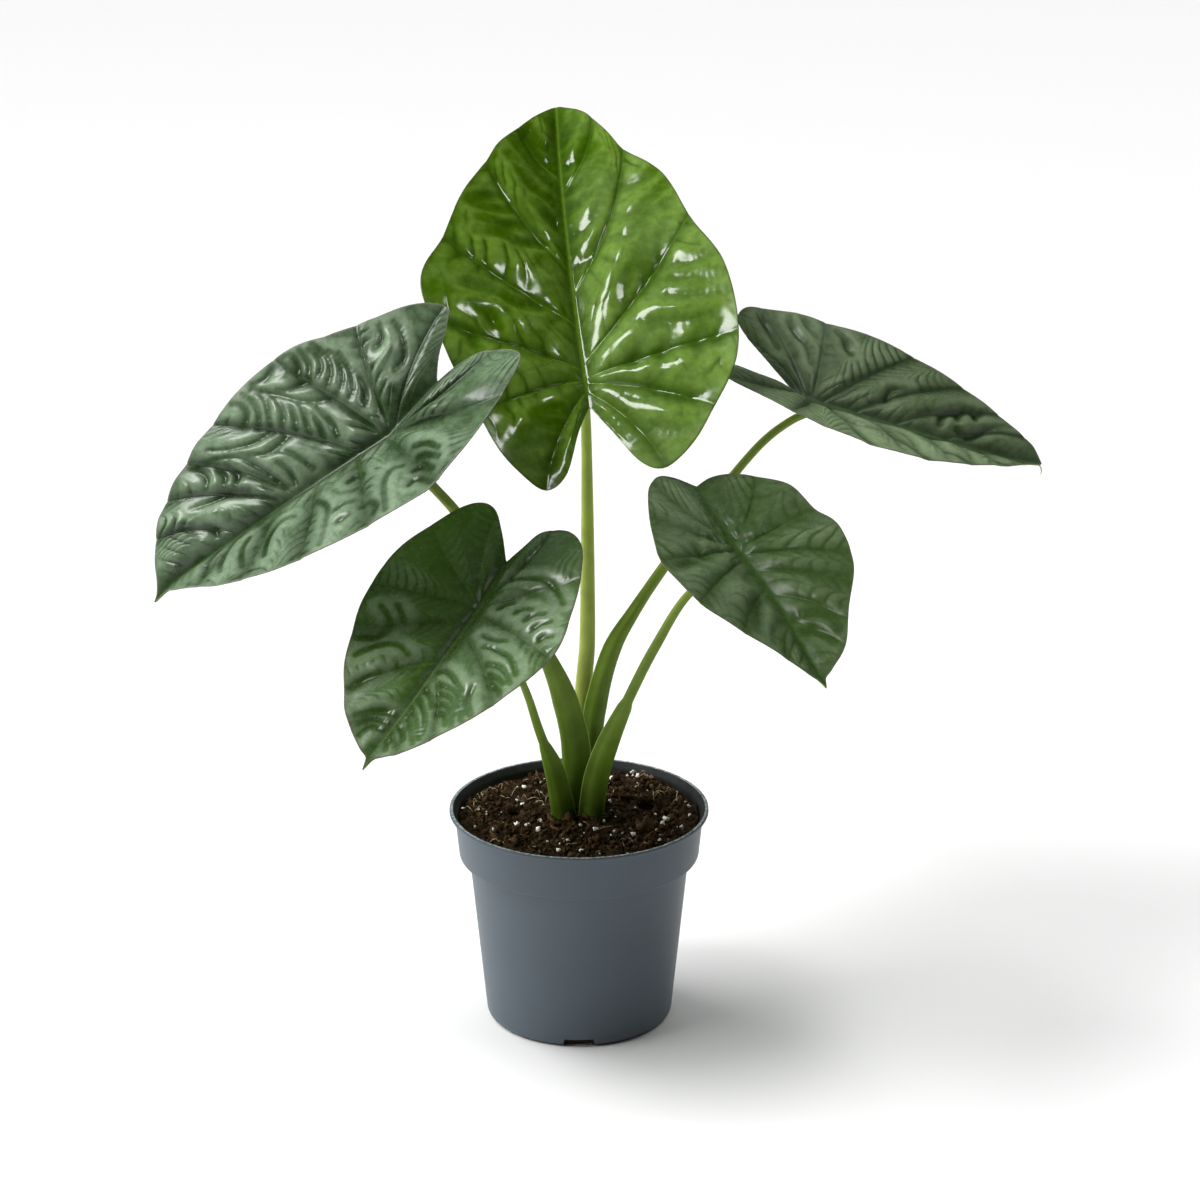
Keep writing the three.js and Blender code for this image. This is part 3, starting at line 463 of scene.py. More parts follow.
# Half outlines run from the tip to the notch at the back, as distances along the midrib from the
# stalk and across it, in mm. Veins give where each leaves the midrib and where it meets the margin,
# as a share of the half outline. Pairs of values are for the left and the right half.
# at, azimuth, elevation, roll: place of the stalk and the turns of the blade there.
# droop, lobe_droop, fold, arch, sway, hook, shear: how the flat sheet is bent.
# tip, notch: both ends of the midrib. sides: height of all relief on each half.
# rib_gap, rib_crowd, rib_rise, rib_sides: spacing of the ribs, how much closer they stand towards
# the margin, and their height. rib_lean, rib_reach: how ribs hook and how far into a panel they
# reach. rib_back, rib_back_reach: height and reach of the row at the panel's rear vein.
# rib_inner: height of the row beside the midrib.
# rib_zone, rib_calm, vein_calm: where along the blade the relief grows from weak to full.
# puffed, skew, scallop: how far panels swell between veins, how early, and how the margin dips.
# lumps, fine, crinkle: height of soft lumps, of the fine grain and of the puckers at the stalk.
# furrow, vein_depth, groove: width of the dark colour bands along the side veins, partly deeper green and
# partly painted shade; depth of veins; depth and width at the midrib.
# creases: traced lines of sharper valleys, each a run of along, across, along, across, with their
# depth and width in crease_depth and crease_width.
# bloom_and_light: share of the pale colour on each half, and how it grows towards the tip. The pale
# colour is partly a paler wax coat and partly painted light, higher on the half that faces the lamps.
# grid: length of a face along the margin and across the blade.
BLADES = {
    "leaf_1": dict(
        at=(2.8, 31.98, 301.97), azimuth=100, elevation=42, roll=-3, droop=1.5, lobe_droop=2.5,
        fold=18, arch=0.5, sway=-0.6, hook=0, shear=0, tip=159.8, notch=-17,
        left=[(158.3, 2.8), (151, 11), (131, 29), (103, 46), (70, 62), (40, 75), (8, 67), (-32, 52),
            (-52, 38), (-60, 27), (-52, 16), (-30, 7)],
        right=[(158.5, 3.7), (149, 15), (124, 29), (98, 48), (66, 61), (40, 71), (6, 74), (-20, 64),
            (-42, 47), (-54, 32), (-49, 20), (-30, 8)],
        left_veins=[(112, 0.085), (58, 0.184), (27, 0.36), (3, 0.515), (-2.5, 0.68), (-8, 0.83)],
        right_veins=[(104, 0.075), (44, 0.17), (6, 0.355), (-1.5, 0.585), (-4, 0.71), (-8.5, 0.83)],
        sides=(1, 0.65), rib_gap=12, rib_rise=0.8, rib_lean=0.4, rib_reach=0.75, rib_back=0.95,
        rib_back_reach=0.75, rib_inner=0.7, rib_calm=0.8, rib_zone=(-30, 30), rib_crowd=0.15,
        vein_calm=0.8, skew=0.9, scallop=1.1, bloom_and_light=(0.12, 0.75, -0.45), lumps=0.8, crinkle=0.15,
        fine=0.02, rib_sides=(0.6, 0.7), puffed=(1, 1), vein_depth=0.4, furrow=(4, 4),
        groove=(1.6, 4.2), crease_depth=2.6, crease_width=4.6, grid=(1.1, 0.9),
        creases=[
            (120, 1, 121, -7, 127, -12, 140, -14), (106, 1, 105, -7, 110, -13, 126, -17),
            (94, 0, 94, -9, 102, -14, 117, -20), (77, -1, 78, -9, 89, -16, 105, -22),
            (61, -2, 62, -9, 72, -16), (135, 1, 137, -4, 146, -8, 151, -10),
            (97, -28, 96, -35, 100, -42, 105, -47), (79, -25, 78, -33, 86, -42, 93, -50),
            (68, -21, 66, -28, 75, -37, 80, -49), (38, -39, 47, -41, 58, -42, 70, -48),
            (30, -33, 43, -34, 56, -34, 68, -38), (30, -24, 39, -24, 48, -27, 56, -32),
            (46, -46, 45, -55, 47, -63, 49, -69), (38, -42, 37, -51, 35, -60, 36, -69),
            (32, -37, 28, -48, 26, -59, 26, -70), (20, -26, 17, -37, 15, -51, 16, -65),
            (-5, -21, 4, -25, 12, -31, 16, -34), (-7, -35, 3, -37, 11, -42, 16, -44),
            (-4, -53, 4, -54, 10, -56), (-1, -62, 6, -64, 13, -68),
            (-10, -29, -18, -32, -22, -40, -23, -49, -20, -57), (-13, -13, -19, -23, -21, -31),
            (-30, -24, -35, -32, -38, -40, -38, -50), (-26, -9, -38, -17, -47, -24, -53, -32),
            (131, 2, 133, 8, 137, 12, 144, 15), (119, 2, 125, 10, 135, 16, 142, 19),
            (107, 2, 113, 10, 123, 16, 134, 23), (95, 1, 100, 9, 106, 16, 123, 25),
            (81, 0, 86, 7, 94, 14), (97, 32, 95, 40, 93, 46), (88, 29, 88, 38, 91, 47),
            (79, 24, 78, 32, 81, 42), (71, 13, 69, 23, 73, 33, 74, 44),
            (34, 20, 34, 28, 40, 38, 43, 46), (40, 42, 42, 47, 43, 54), (21, 40, 28, 44, 31, 51),
            (9, 51, 17, 54, 21, 61), (-19, 14, -20, 21, -23, 28), (-27, 16, -27, 23, -30, 29, -34, 35),
            (-35, 18, -35, 26, -37, 33, -42, 39), (-42, 19, -46, 24, -47, 33, -44, 40),
        ]),
    "leaf_2": dict(
        at=(-83.5, -32, 294.6), azimuth=195, elevation=-30, roll=-28, droop=2, lobe_droop=1.5,
        fold=22, arch=1.5, sway=-1.4, hook=5, shear=0.35, tip=129, notch=-31,
        left=[(124.5, 1), (121, 2.4), (117, 7.5), (110, 15), (98, 28), (75, 43), (46, 53), (16, 58),
            (-20, 58), (-50, 49), (-64, 41), (-65, 30), (-56, 13), (-42, 3)],
        right=[(126, 1.6), (122, 6), (116, 14.5), (103, 28), (80, 42), (50, 54), (22, 60), (0, 55),
            (-24, 43), (-44, 32), (-53, 22), (-48, 15), (-38, 8)],
        left_veins=[(82, 0.105), (60, 0.2), (38, 0.31), (17, 0.43), (2, 0.56), (-2, 0.72), (-4, 0.881)],
        right_veins=[(79, 0.11), (55, 0.185), (49, 0.265), (15, 0.35), (1.5, 0.51), (-2, 0.676),
            (-4, 0.864)],
        sides=(0.6, 1), rib_gap=8.2, rib_rise=1.7, rib_lean=0.9, rib_reach=0.72, rib_back=0.4,
        rib_back_reach=0.55, rib_inner=0.7, rib_calm=0.75, rib_zone=(-40, 20), rib_crowd=0.3,
        vein_calm=0.8, skew=0.66, scallop=0.6, bloom_and_light=(0.35, 0.4, 0.15), lumps=0.8, crinkle=0.1,
        fine=0.06, rib_sides=(0.5, 1), puffed=(1.2, 1), vein_depth=0.55, furrow=(7, 4),
        groove=(1.2, 3.2), crease_depth=2.4, crease_width=2.1, grid=(0.9, 0.9),
        creases=[
            (18, -47, 16, -51, 16, -56, 19, -58), (15, -43, 12, -48, 12, -56),
            (12, -40, 8, -44, 7, -50, 9, -54), (10, -34, 6, -39, 4, -46, 6, -55),
            (6, -29, 2, -36, 1, -44, 2, -48), (5, -23, 1, -28, -1, -35, -1, -44),
            (2, -17, -2, -23, -3, -32), (-16, -32, -20, -33, -23, -39),
            (-18, -18, -25, -20, -29, -28, -29, -35), (50, -41, 46, -44, 46, -49, 49, -52),
            (45, -36, 42, -41, 41, -47, 43, -53), (41, -32, 38, -39, 36, -47, 39, -52),
            (37, -29, 33, -34, 32, -42, 34, -47), (32, -25, 30, -29, 29, -36, 30, -41),
            (28, -20, 27, -24, 25, -31, 26, -35), (24, -15, 23, -20, 23, -26),
            (19, -12, 18, -18, 19, -25, 19, -29), (38, -53, 33, -47, 29, -42, 24, -35, 16, -30, 9, -28),
            (16, -42, 21, -43, 26, -43, 30, -46), (27, -56, 32, -54, 37, -55),
            (72, -22, 70, -26, 71, -31), (79, -26, 77, -29, 77, -33, 80, -37),
            (68, -19, 65, -23, 66, -28), (50, -6, 53, -15, 57, -24, 61, -30, 70, -35, 77, -37),
            (43, -31, 50, -31, 55, -32, 62, -35, 69, -40), (38, -25, 45, -23, 50, -23, 59, -29),
            (46, -5, 45, -11, 47, -16), (36, -6, 38, -12, 41, -18, 45, -21),
            (65, -13, 72, -18, 80, -19, 90, -21), (88, -5, 88, -9, 90, -11),
            (19, 54, 14, 39, 8, 31, 3, 32), (24, 51, 21, 47, 23, 42, 27, 41),
            (42, 18, 39, 27, 42, 36, 50, 48), (26, 19, 22, 17, 19, 21), (38, 34, 33, 32, 29, 34),
            (39, 42, 33, 41), (73, 31, 68, 21, 60, 16, 54, 18), (94, 20, 90, 11, 83, 5, 78, 3),
            (102, 14, 98, 7, 91, 3), (110, 7, 105, 2, 100, -1), (84, 26, 81, 16, 76, 11),
            (5, 48, 1, 47, -3, 56), (0, 40, -4, 42, -7, 50), (-4, 35, -8, 40, -12, 48),
            (-6, 28, -11, 35, -14, 44),
        ]),
    "leaf_3": dict(
        at=(-44.2, -59.2, 222), azimuth=235, elevation=-31, roll=-8, droop=0.5, lobe_droop=1,
        fold=13, arch=1.5, sway=-1, hook=1, shear=0.08, tip=94, notch=-29,
        left=[(90.5, 0.9), (87.8, 2.2), (85.3, 7), (79, 17), (61, 32), (40, 44), (15, 52), (-6, 48),
            (-26, 43), (-44, 34), (-52, 22), (-49, 10), (-38, 4)],
        right=[(90.5, 0.9), (87.8, 2.2), (84.5, 8), (73, 22), (54, 35), (32, 44), (8, 49), (-14, 46),
            (-35, 37), (-50, 27), (-52, 18), (-42, 9)],
        left_veins=[(62, 0.08), (37, 0.154), (13, 0.3), (1, 0.455), (-1.5, 0.677), (-4, 0.87)],
        right_veins=[(58, 0.115), (31, 0.205), (9, 0.355), (0.5, 0.49), (-2, 0.69), (-4, 0.87)],
        sides=(1, 0.6), rib_gap=6.4, rib_rise=1.5, rib_lean=0.9, rib_reach=0.66, rib_back=0.4,
        rib_back_reach=0.5, rib_inner=0.1, rib_calm=0.35, rib_zone=(-25, 35), rib_crowd=0.35,
        vein_calm=0.35, skew=0.68, scallop=0.5, bloom_and_light=(0.7, 0.05, 0.35), lumps=0.5, crinkle=0.1,
        fine=0.04, rib_sides=(0.8, 0.3), puffed=(1, 0.35), vein_depth=0.2, furrow=(4, 7),
        groove=(0.6, 2.6), crease_depth=1.5, crease_width=2.1, grid=(0.75, 0.8),
        creases=[
            (14, 13, 15, 20, 14, 25), (20, 17, 20, 24, 23, 34, 30, 41),
            (28, 24, 28, 30, 30, 35, 35, 41), (33, 28, 34, 34, 36, 38), (37, 32, 39, 37, 42, 40),
            (37, 2, 36, 7, 41, 16, 47, 24, 55, 31), (43, 7, 44, 12, 46, 19, 53, 26, 59, 31),
            (48, 11, 48, 15, 51, 21, 57, 26), (53, 14, 53, 18, 57, 24, 63, 28),
            (58, 17, 58, 21, 63, 25), (41, 25, 48, 27, 55, 33), (57, 0, 61, 6, 67, 12, 73, 17),
            (61, -1, 65, 6, 71, 12, 76, 16), (66, -1, 70, 5, 75, 10), (71, -2, 75, 4, 79, 8),
            (76, -2, 78, 3, 82, 5), (52, 1, 56, 7, 62, 13, 70, 17), (46, 0, 50, 7, 56, 12),
            (-2, 11, -5, 13, -7, 17), (-1, 21, -4, 23, -5, 28), (2, 28, -2, 30, -4, 35),
            (6, 34, 2, 36, -1, 40), (10, 40, 7, 42, 6, 45), (-19, 9, -21, 18, -21, 30, -12, 41),
            (69, -3, 70, -9, 75, -13), (73, -3, 74, -8, 80, -10), (64, -3, 66, -10, 72, -17),
            (61, -26, 55, -24, 49, -20), (38, -38, 35, -32, 30, -29, 25, -29),
            (46, -34, 42, -32, 36, -27, 33, -20, 35, -14), (19, -38, 21, -34, 24, -30),
            (15, -32, 18, -28, 21, -25),
        ]),
    "leaf_4": dict(
        at=(107.85, 54.95, 282.3), azimuth=4, elevation=-18.5, roll=21, droop=1, lobe_droop=2,
        fold=23, arch=1, sway=1.6, hook=3, shear=-0.35, tip=117, notch=-10,
        left=[(109, 10), (92, 20), (70, 30), (46, 38), (20, 43), (-6, 42), (-24, 36), (-36, 31),
            (-40, 23), (-35, 16), (-22, 7)],
        right=[(109, 3), (98, 13), (82, 25), (62, 38), (40, 46), (18, 45), (-4, 40), (-28, 41),
            (-44, 36), (-50, 22), (-44, 8), (-28, 3)],
        left_veins=[(66, 0.08), (40, 0.16), (20, 0.26), (4, 0.39), (-0.5, 0.6), (-3, 0.745),
            (-5, 0.87)],
        right_veins=[(72, 0.11), (46, 0.22), (24, 0.33), (6, 0.45), (0, 0.6), (-2.5, 0.74),
            (-4.5, 0.88)],
        sides=(0.8, 1), rib_gap=6.5, rib_rise=1.1, rib_lean=0.9, rib_reach=0.72, rib_back=0.5,
        rib_back_reach=0.6, rib_inner=0.7, rib_calm=0.8, rib_zone=(-20, 30), rib_crowd=0.3,
        vein_calm=0.6, skew=0.75, scallop=0, bloom_and_light=(0.3, 0.95, 0), lumps=0.6, crinkle=0.1, fine=0.05,
        rib_sides=(0.5, 0.8), puffed=(0.7, 1), vein_depth=0.35, furrow=(3.4, 3.4), groove=(0.8, 2.8),
        crease_depth=3.4, crease_width=2.4, grid=(0.85, 0.9),
        creases=[
            (5, 1, 13, -18, 21, -41, 26, -49), (12, -12, 22, -21, 34, -26, 38, -42),
            (22, -7, 36, -10, 45, -20, 49, -42), (34, 0, 52, 0, 61, -12, 61, -35),
            (50, 1, 65, -2, 75, -10, 75, -27), (63, 2, 77, 1, 89, -8, 91, -17), (79, 1, 94, 1, 106, -3),
            (14, 30, 10, 37, 6, 40), (34, 12, 36, 17, 42, 19), (62, 7, 64, 13, 71, 17),
            (70, 12, 72, 18, 77, 20), (79, 15, 80, 19, 83, 21), (71, 7, 78, 5, 86, 12, 97, 17),
            (-30, 30, -24, 22, -20, 17), (-17, 36, -12, 29, -6, 25, -4, 18), (-11, 40, -7, 36, -4, 33),
        ]),
    "leaf_5": dict(
        at=(70.9, -45, 244.6), azimuth=301, elevation=-21, roll=4, droop=1, lobe_droop=1,
        fold=16, arch=1, sway=-2, hook=1, shear=-0.12, tip=89, notch=-47,
        left=[(86.5, 1), (84, 2.2), (81.5, 6.5), (73, 17), (55, 27), (35, 39.5), (12, 44.7), (-4, 40.5),
            (-22, 37), (-35, 27), (-44, 17), (-48, 8)],
        right=[(86.5, 1), (84, 2.2), (80.5, 5.5), (68, 15), (52, 29), (34, 41), (10, 46), (-10, 42),
            (-30, 35), (-46, 27), (-54, 18), (-53, 9)],
        left_veins=[(47, 0.135), (30, 0.215), (14, 0.33), (2, 0.43), (-1.5, 0.62), (-5, 0.83)],
        right_veins=[(50, 0.12), (26, 0.24), (6, 0.37), (-0.5, 0.53), (-3, 0.7), (-6, 0.86)],
        sides=(1, 1), rib_gap=9.5, rib_rise=0.3, rib_lean=0.7, rib_reach=0.7, rib_back=0.5,
        rib_back_reach=0.6, rib_inner=0.8, rib_calm=0.7, rib_zone=(-20, 40), rib_crowd=0.2,
        vein_calm=0.7, skew=0.8, scallop=0, bloom_and_light=(0.15, 0.75, 0), lumps=0.8, crinkle=1.5, fine=0.02,
        rib_sides=(1, 1), puffed=(0.7, 0.7), vein_depth=0.15, furrow=(5, 5), groove=(0.9, 4.5),
        crease_depth=1.8, crease_width=3.6, grid=(0.9, 0.95),
        creases=[
            (54, -19, 42, -13, 35, -8, 33, -2), (61, -14, 53, -10, 48, -4, 48, 0),
            (11, -41, 8, -30, 13, -24, 20, -23), (-5, -22, 4, -21, 9, -17),
            (47, 5, 51, 13, 58, 18, 64, 18), (56, 4, 61, 10, 68, 13), (23, -8, 18, -7, 15, -2),
        ]),
}
BLADE_THICKNESS, MARGIN_THICKNESS, MIDRIB_DEPTH = 0.8, 0.45, 1.5
MIDRIB_WIDTH, VEIN_WIDTH = 1.7, 0.9
PUFF = 0.05  # rise of a panel between two veins, as a share of the half width
BOW = 0.1  # bulge of a side vein away from the straight line
MARKS = ("vein", "valley_tint_and_shade", "rise", "rim", "bloom_and_light")  # what each point tells the colours of its face


def ease(value, low, high):
    """0 below low and 1 above high, with a smooth step between them."""
    share = np.clip((np.asarray(value, float) - low) / (high - low), 0, 1)
    return share * share * (3 - 2 * share)


def about(vector, axis, degrees):
    """A vector turned about a unit axis."""
    turn = math.radians(degrees)
    return (vector * math.cos(turn) + np.cross(axis, vector) * math.sin(turn)
            + axis * np.dot(axis, vector) * (1 - math.cos(turn)))


def blade_axes(leaf):
    """Unit vectors of a blade: down the midrib, across to the left and up out of its face."""
    turn, rise = math.radians(leaf["azimuth"]), math.radians(leaf["elevation"])
    along = np.array([math.cos(rise) * math.cos(turn), math.cos(rise) * math.sin(turn), math.sin(rise)])
    level = np.array([-math.sin(rise) * math.cos(turn), -math.sin(rise) * math.sin(turn), math.cos(rise)])
    across = about(np.cross(level, along), along, leaf["roll"])
    return along, across, about(level, along, leaf["roll"])


def place_on_blade(leaf, along, across, height):
    """Lifts points of the flat blade, with their heights above the flat sheet, to their place."""
    bend = np.where(along > 0, leaf["droop"], leaf["lobe_droop"]) / 1000
    angle = bend * along
    fold, arch = math.radians(leaf["fold"]), leaf["arch"] / 1000
    slope = fold - arch * np.abs(across)
    side = (math.sin(fold) - np.sin(slope)) / arch * np.sign(across)
    rise = (np.cos(slope) - math.cos(fold)) / arch + height
    near_tip = np.clip((along / leaf["tip"] - 0.8) / 0.2, 0, 1)
    sway = np.where(
        along > 0, leaf["sway"] / 2000 * along ** 2 + leaf["hook"] * near_tip ** 2,
        leaf["shear"] * along)
    run = np.sin(angle) / bend + rise * np.sin(angle)
    lift = (np.cos(angle) - 1) / bend + rise * np.cos(angle)
    axes = blade_axes(leaf)
    return (np.array(leaf["at"]) + run[..., None] * axes[0]
            + (side + sway)[..., None] * axes[1] + lift[..., None] * axes[2])


def smooth_line(knots, count=400):
    """A smooth line through the knots, as count points with even spacing, and its length."""
    knots = np.array(knots, float)
    spans = len(knots) - 1
    place = np.linspace(0, spans, count)
    first = np.minimum(place.astype(int), spans - 1)
    t = (place - first)[:, None]
    p = [knots[np.clip(first + shift, 0, spans)] for shift in (-1, 0, 1, 2)]
    start, end = (p[2] - p[0]) / 2, (p[3] - p[1]) / 2
    line = ((2 * p[1] - 2 * p[2] + start + end) * t ** 3
            + (-3 * p[1] + 3 * p[2] - 2 * start - end) * t ** 2 + start * t + p[1])
    run = np.concatenate([[0], np.cumsum(np.linalg.norm(np.diff(line, axis=0), axis=1))])
    even = np.linspace(0, run[-1], count)
    return np.stack([np.interp(even, run, line[:, axis]) for axis in range(2)], 1), run[-1]


def field(x, y, size, seed):
    """Smooth random bumps, about size mm across, between -1 and 1."""
    flat = zip(np.ravel(x) / size, np.ravel(y) / size)
    return np.array([noise.noise(Vector((u, v, seed))) for u, v in flat]).reshape(np.shape(x))


def crease_marks(leaf, along, across):
    """How deep in a crease each place lies, from 0 to 1, and how far from the nearest crease."""
    untouched, nearest = np.ones(along.shape), np.full(along.shape, 99.0)
    for line in leaf["creases"]:
        curve, _ = smooth_line(np.reshape(line, (-1, 2)), 11)
        if curve[-1, 1] * across.sum() < 0:
            continue
        depth = 0
        for share, start, end in zip(np.linspace(0, 1, 10), curve, curve[1:]):
            step = end - start
            run = ((along - start[0]) * step[0] + (across - start[1]) * step[1]) / (step @ step)
            run = np.clip(run, 0, 1)
            away = np.hypot(along - start[0] - run * step[0], across - start[1] - run * step[1])
            profile = np.exp(-(away / leaf["crease_width"]) ** 1.6)
            depth = np.maximum(depth, profile * np.interp(share, [0, 0.25, 1], [0.5, 1, 0.25]))
            nearest = np.minimum(nearest, away)
        untouched = untouched * (1 - depth)
    return 1 - untouched, nearest


def rib_row(phase, weight):
    """A row of ribs: how far up on a rib and how far down between two each place lies."""
    wave = np.abs(2 * (phase - np.floor(phase)) - 1)
    return np.array([weight * (1 - wave ** 2.2), weight * wave ** 5])


def lay_out_half(leaf, sign, stations, columns):
    """The flat half blade: rows of places from the midrib to the margin, in step with the veins."""
    name = "left" if sign > 0 else "right"
    tip, notch = leaf["tip"], leaf["notch"]
    outline, length = smooth_line([(tip, 0), *leaf[name], (notch, 0)])
    stops = [(tip, 0), *leaf[name + "_veins"], (notch, 1)]
    roots = -np.array([stop[0] for stop in stops])
    ends = np.array([stop[1] for stop in stops])
    end = np.interp(-stations, roots, ends)
    panel = np.clip(np.searchsorted(roots, -stations, side="right") - 1, 0, len(stops) - 2)
    between = (-stations - roots[panel]) / (roots[panel + 1] - roots[panel])

    # The margin dips where a vein meets it, and veins bulge a little on their way there.
    at = np.linspace(0, 1, len(outline))
    margin = np.stack([np.interp(end, at, outline[:, axis]) for axis in range(2)], 1)
    chord = margin - np.stack([stations, np.zeros(len(stations))], 1)
    width = np.hypot(chord[:, 0], chord[:, 1])
    dip = 1 - np.sin(math.pi * between) ** 2
    pull = 1 - leaf["scallop"] * dip * ease(end, 0.07, 0.17) / np.maximum(width, 4)
    chord *= pull[:, None]
    width = (width * pull)[:, None]
    share = columns[None, :]
    bulge = BOW * (1 - 1.9 * end)[:, None] * 4 * share * (1 - share)

    # Distances from the two veins of the panel: after the one on the side of the tip, and before
    # the one on the side of the notch.
    gap = ((ends[panel + 1] - ends[panel]) * length)[:, None] * share
    gap = gap + (roots[panel + 1] - roots[panel])[:, None] * (1 - share)
    after = between[:, None] * gap
    before = gap - after
    first = (panel == 0)[:, None]
    last = (panel == len(stops) - 2)[:, None]
    nearest = np.where(first, before, np.where(last, after, np.minimum(after, before)))
    return SimpleNamespace(
        along=stations[:, None] + chord[:, :1] * share - chord[:, 1:] * bulge,
        across=np.maximum(chord[:, 1:] * share + chord[:, :1] * bulge, 0),
        share=share, width=width, out=width * share, panel=panel, between=between, gap=gap,
        after=after, before=before, first=first, last=last,
        nearest=np.where(first & last, gap, nearest))


def rib_relief(leaf, lay, zone, wander):
    """Ribs and dips: two rows of hooked ribs in each panel, one at each vein, and one at the midrib."""
    along, across, out, share = lay.along, lay.across, lay.out, lay.share
    first_row = (lay.first, lay.after, 1, leaf["rib_reach"], 0)
    second_row = (lay.last, lay.before, leaf["rib_back"], leaf["rib_back_reach"], 40)
    relief = 0
    for is_edge, away, size, reach, shift in (first_row, second_row):
        warp = 0.6 * wander(18, shift) + 0.14 * wander(7, shift + 3)
        turned = np.clip(away / (reach * np.maximum(lay.gap, 0.1)), 0, 0.97)
        sweep = leaf["rib_lean"] * reach * lay.gap * (-np.log(1 - turned) - 0.7 * turned)
        crowded = out + leaf["rib_crowd"] * out ** 2 / np.maximum(lay.width, 1)
        start = (0.37 + 0.01 * shift) * lay.panel[:, None]
        phase = (crowded - sweep) / leaf["rib_gap"] + warp + start
        strength = 0.85 + 1.5 * wander(25, shift + 5)
        weight = ease(away, 0.1, 1.6) * (1 - ease(turned, 0.6, 0.97))
        weight = weight * ease(lay.gap, 4, 13) * (0.45 + 0.55 * ease(share, 0.2, 0.6))
        weight = weight * ease(out, 3, 12) * size * zone
        weight = weight * np.clip(strength, 0.1, 1.5) * (1 - 0.4 * ease(share, 0.9, 1))
        relief = relief + rib_row(phase, np.where(is_edge, 0, weight))
    crowded = along + leaf["rib_crowd"] * np.maximum(along, 0) ** 2 / leaf["tip"]
    phase = (crowded - 1.1 * across) / (1.15 * leaf["rib_gap"]) + 0.5 * wander(19, 60)
    strength = 0.7 + 1.5 * wander(25, 65)
    weight = ease(across, 0.8, 4) * ease(lay.nearest, 0.5, 3)
    weight = weight * np.where(lay.first, 1 - 0.5 * ease(share, 0.8, 1), 1 - ease(across, 8, 20))
    weight = weight * zone * np.clip(strength, 0.1, 1.4) * leaf["rib_inner"]
    weight = weight * ease(leaf["tip"] * 0.95 - along, 0, 14) * ease(along, -6, 6)
    return relief + rib_row(phase, weight)


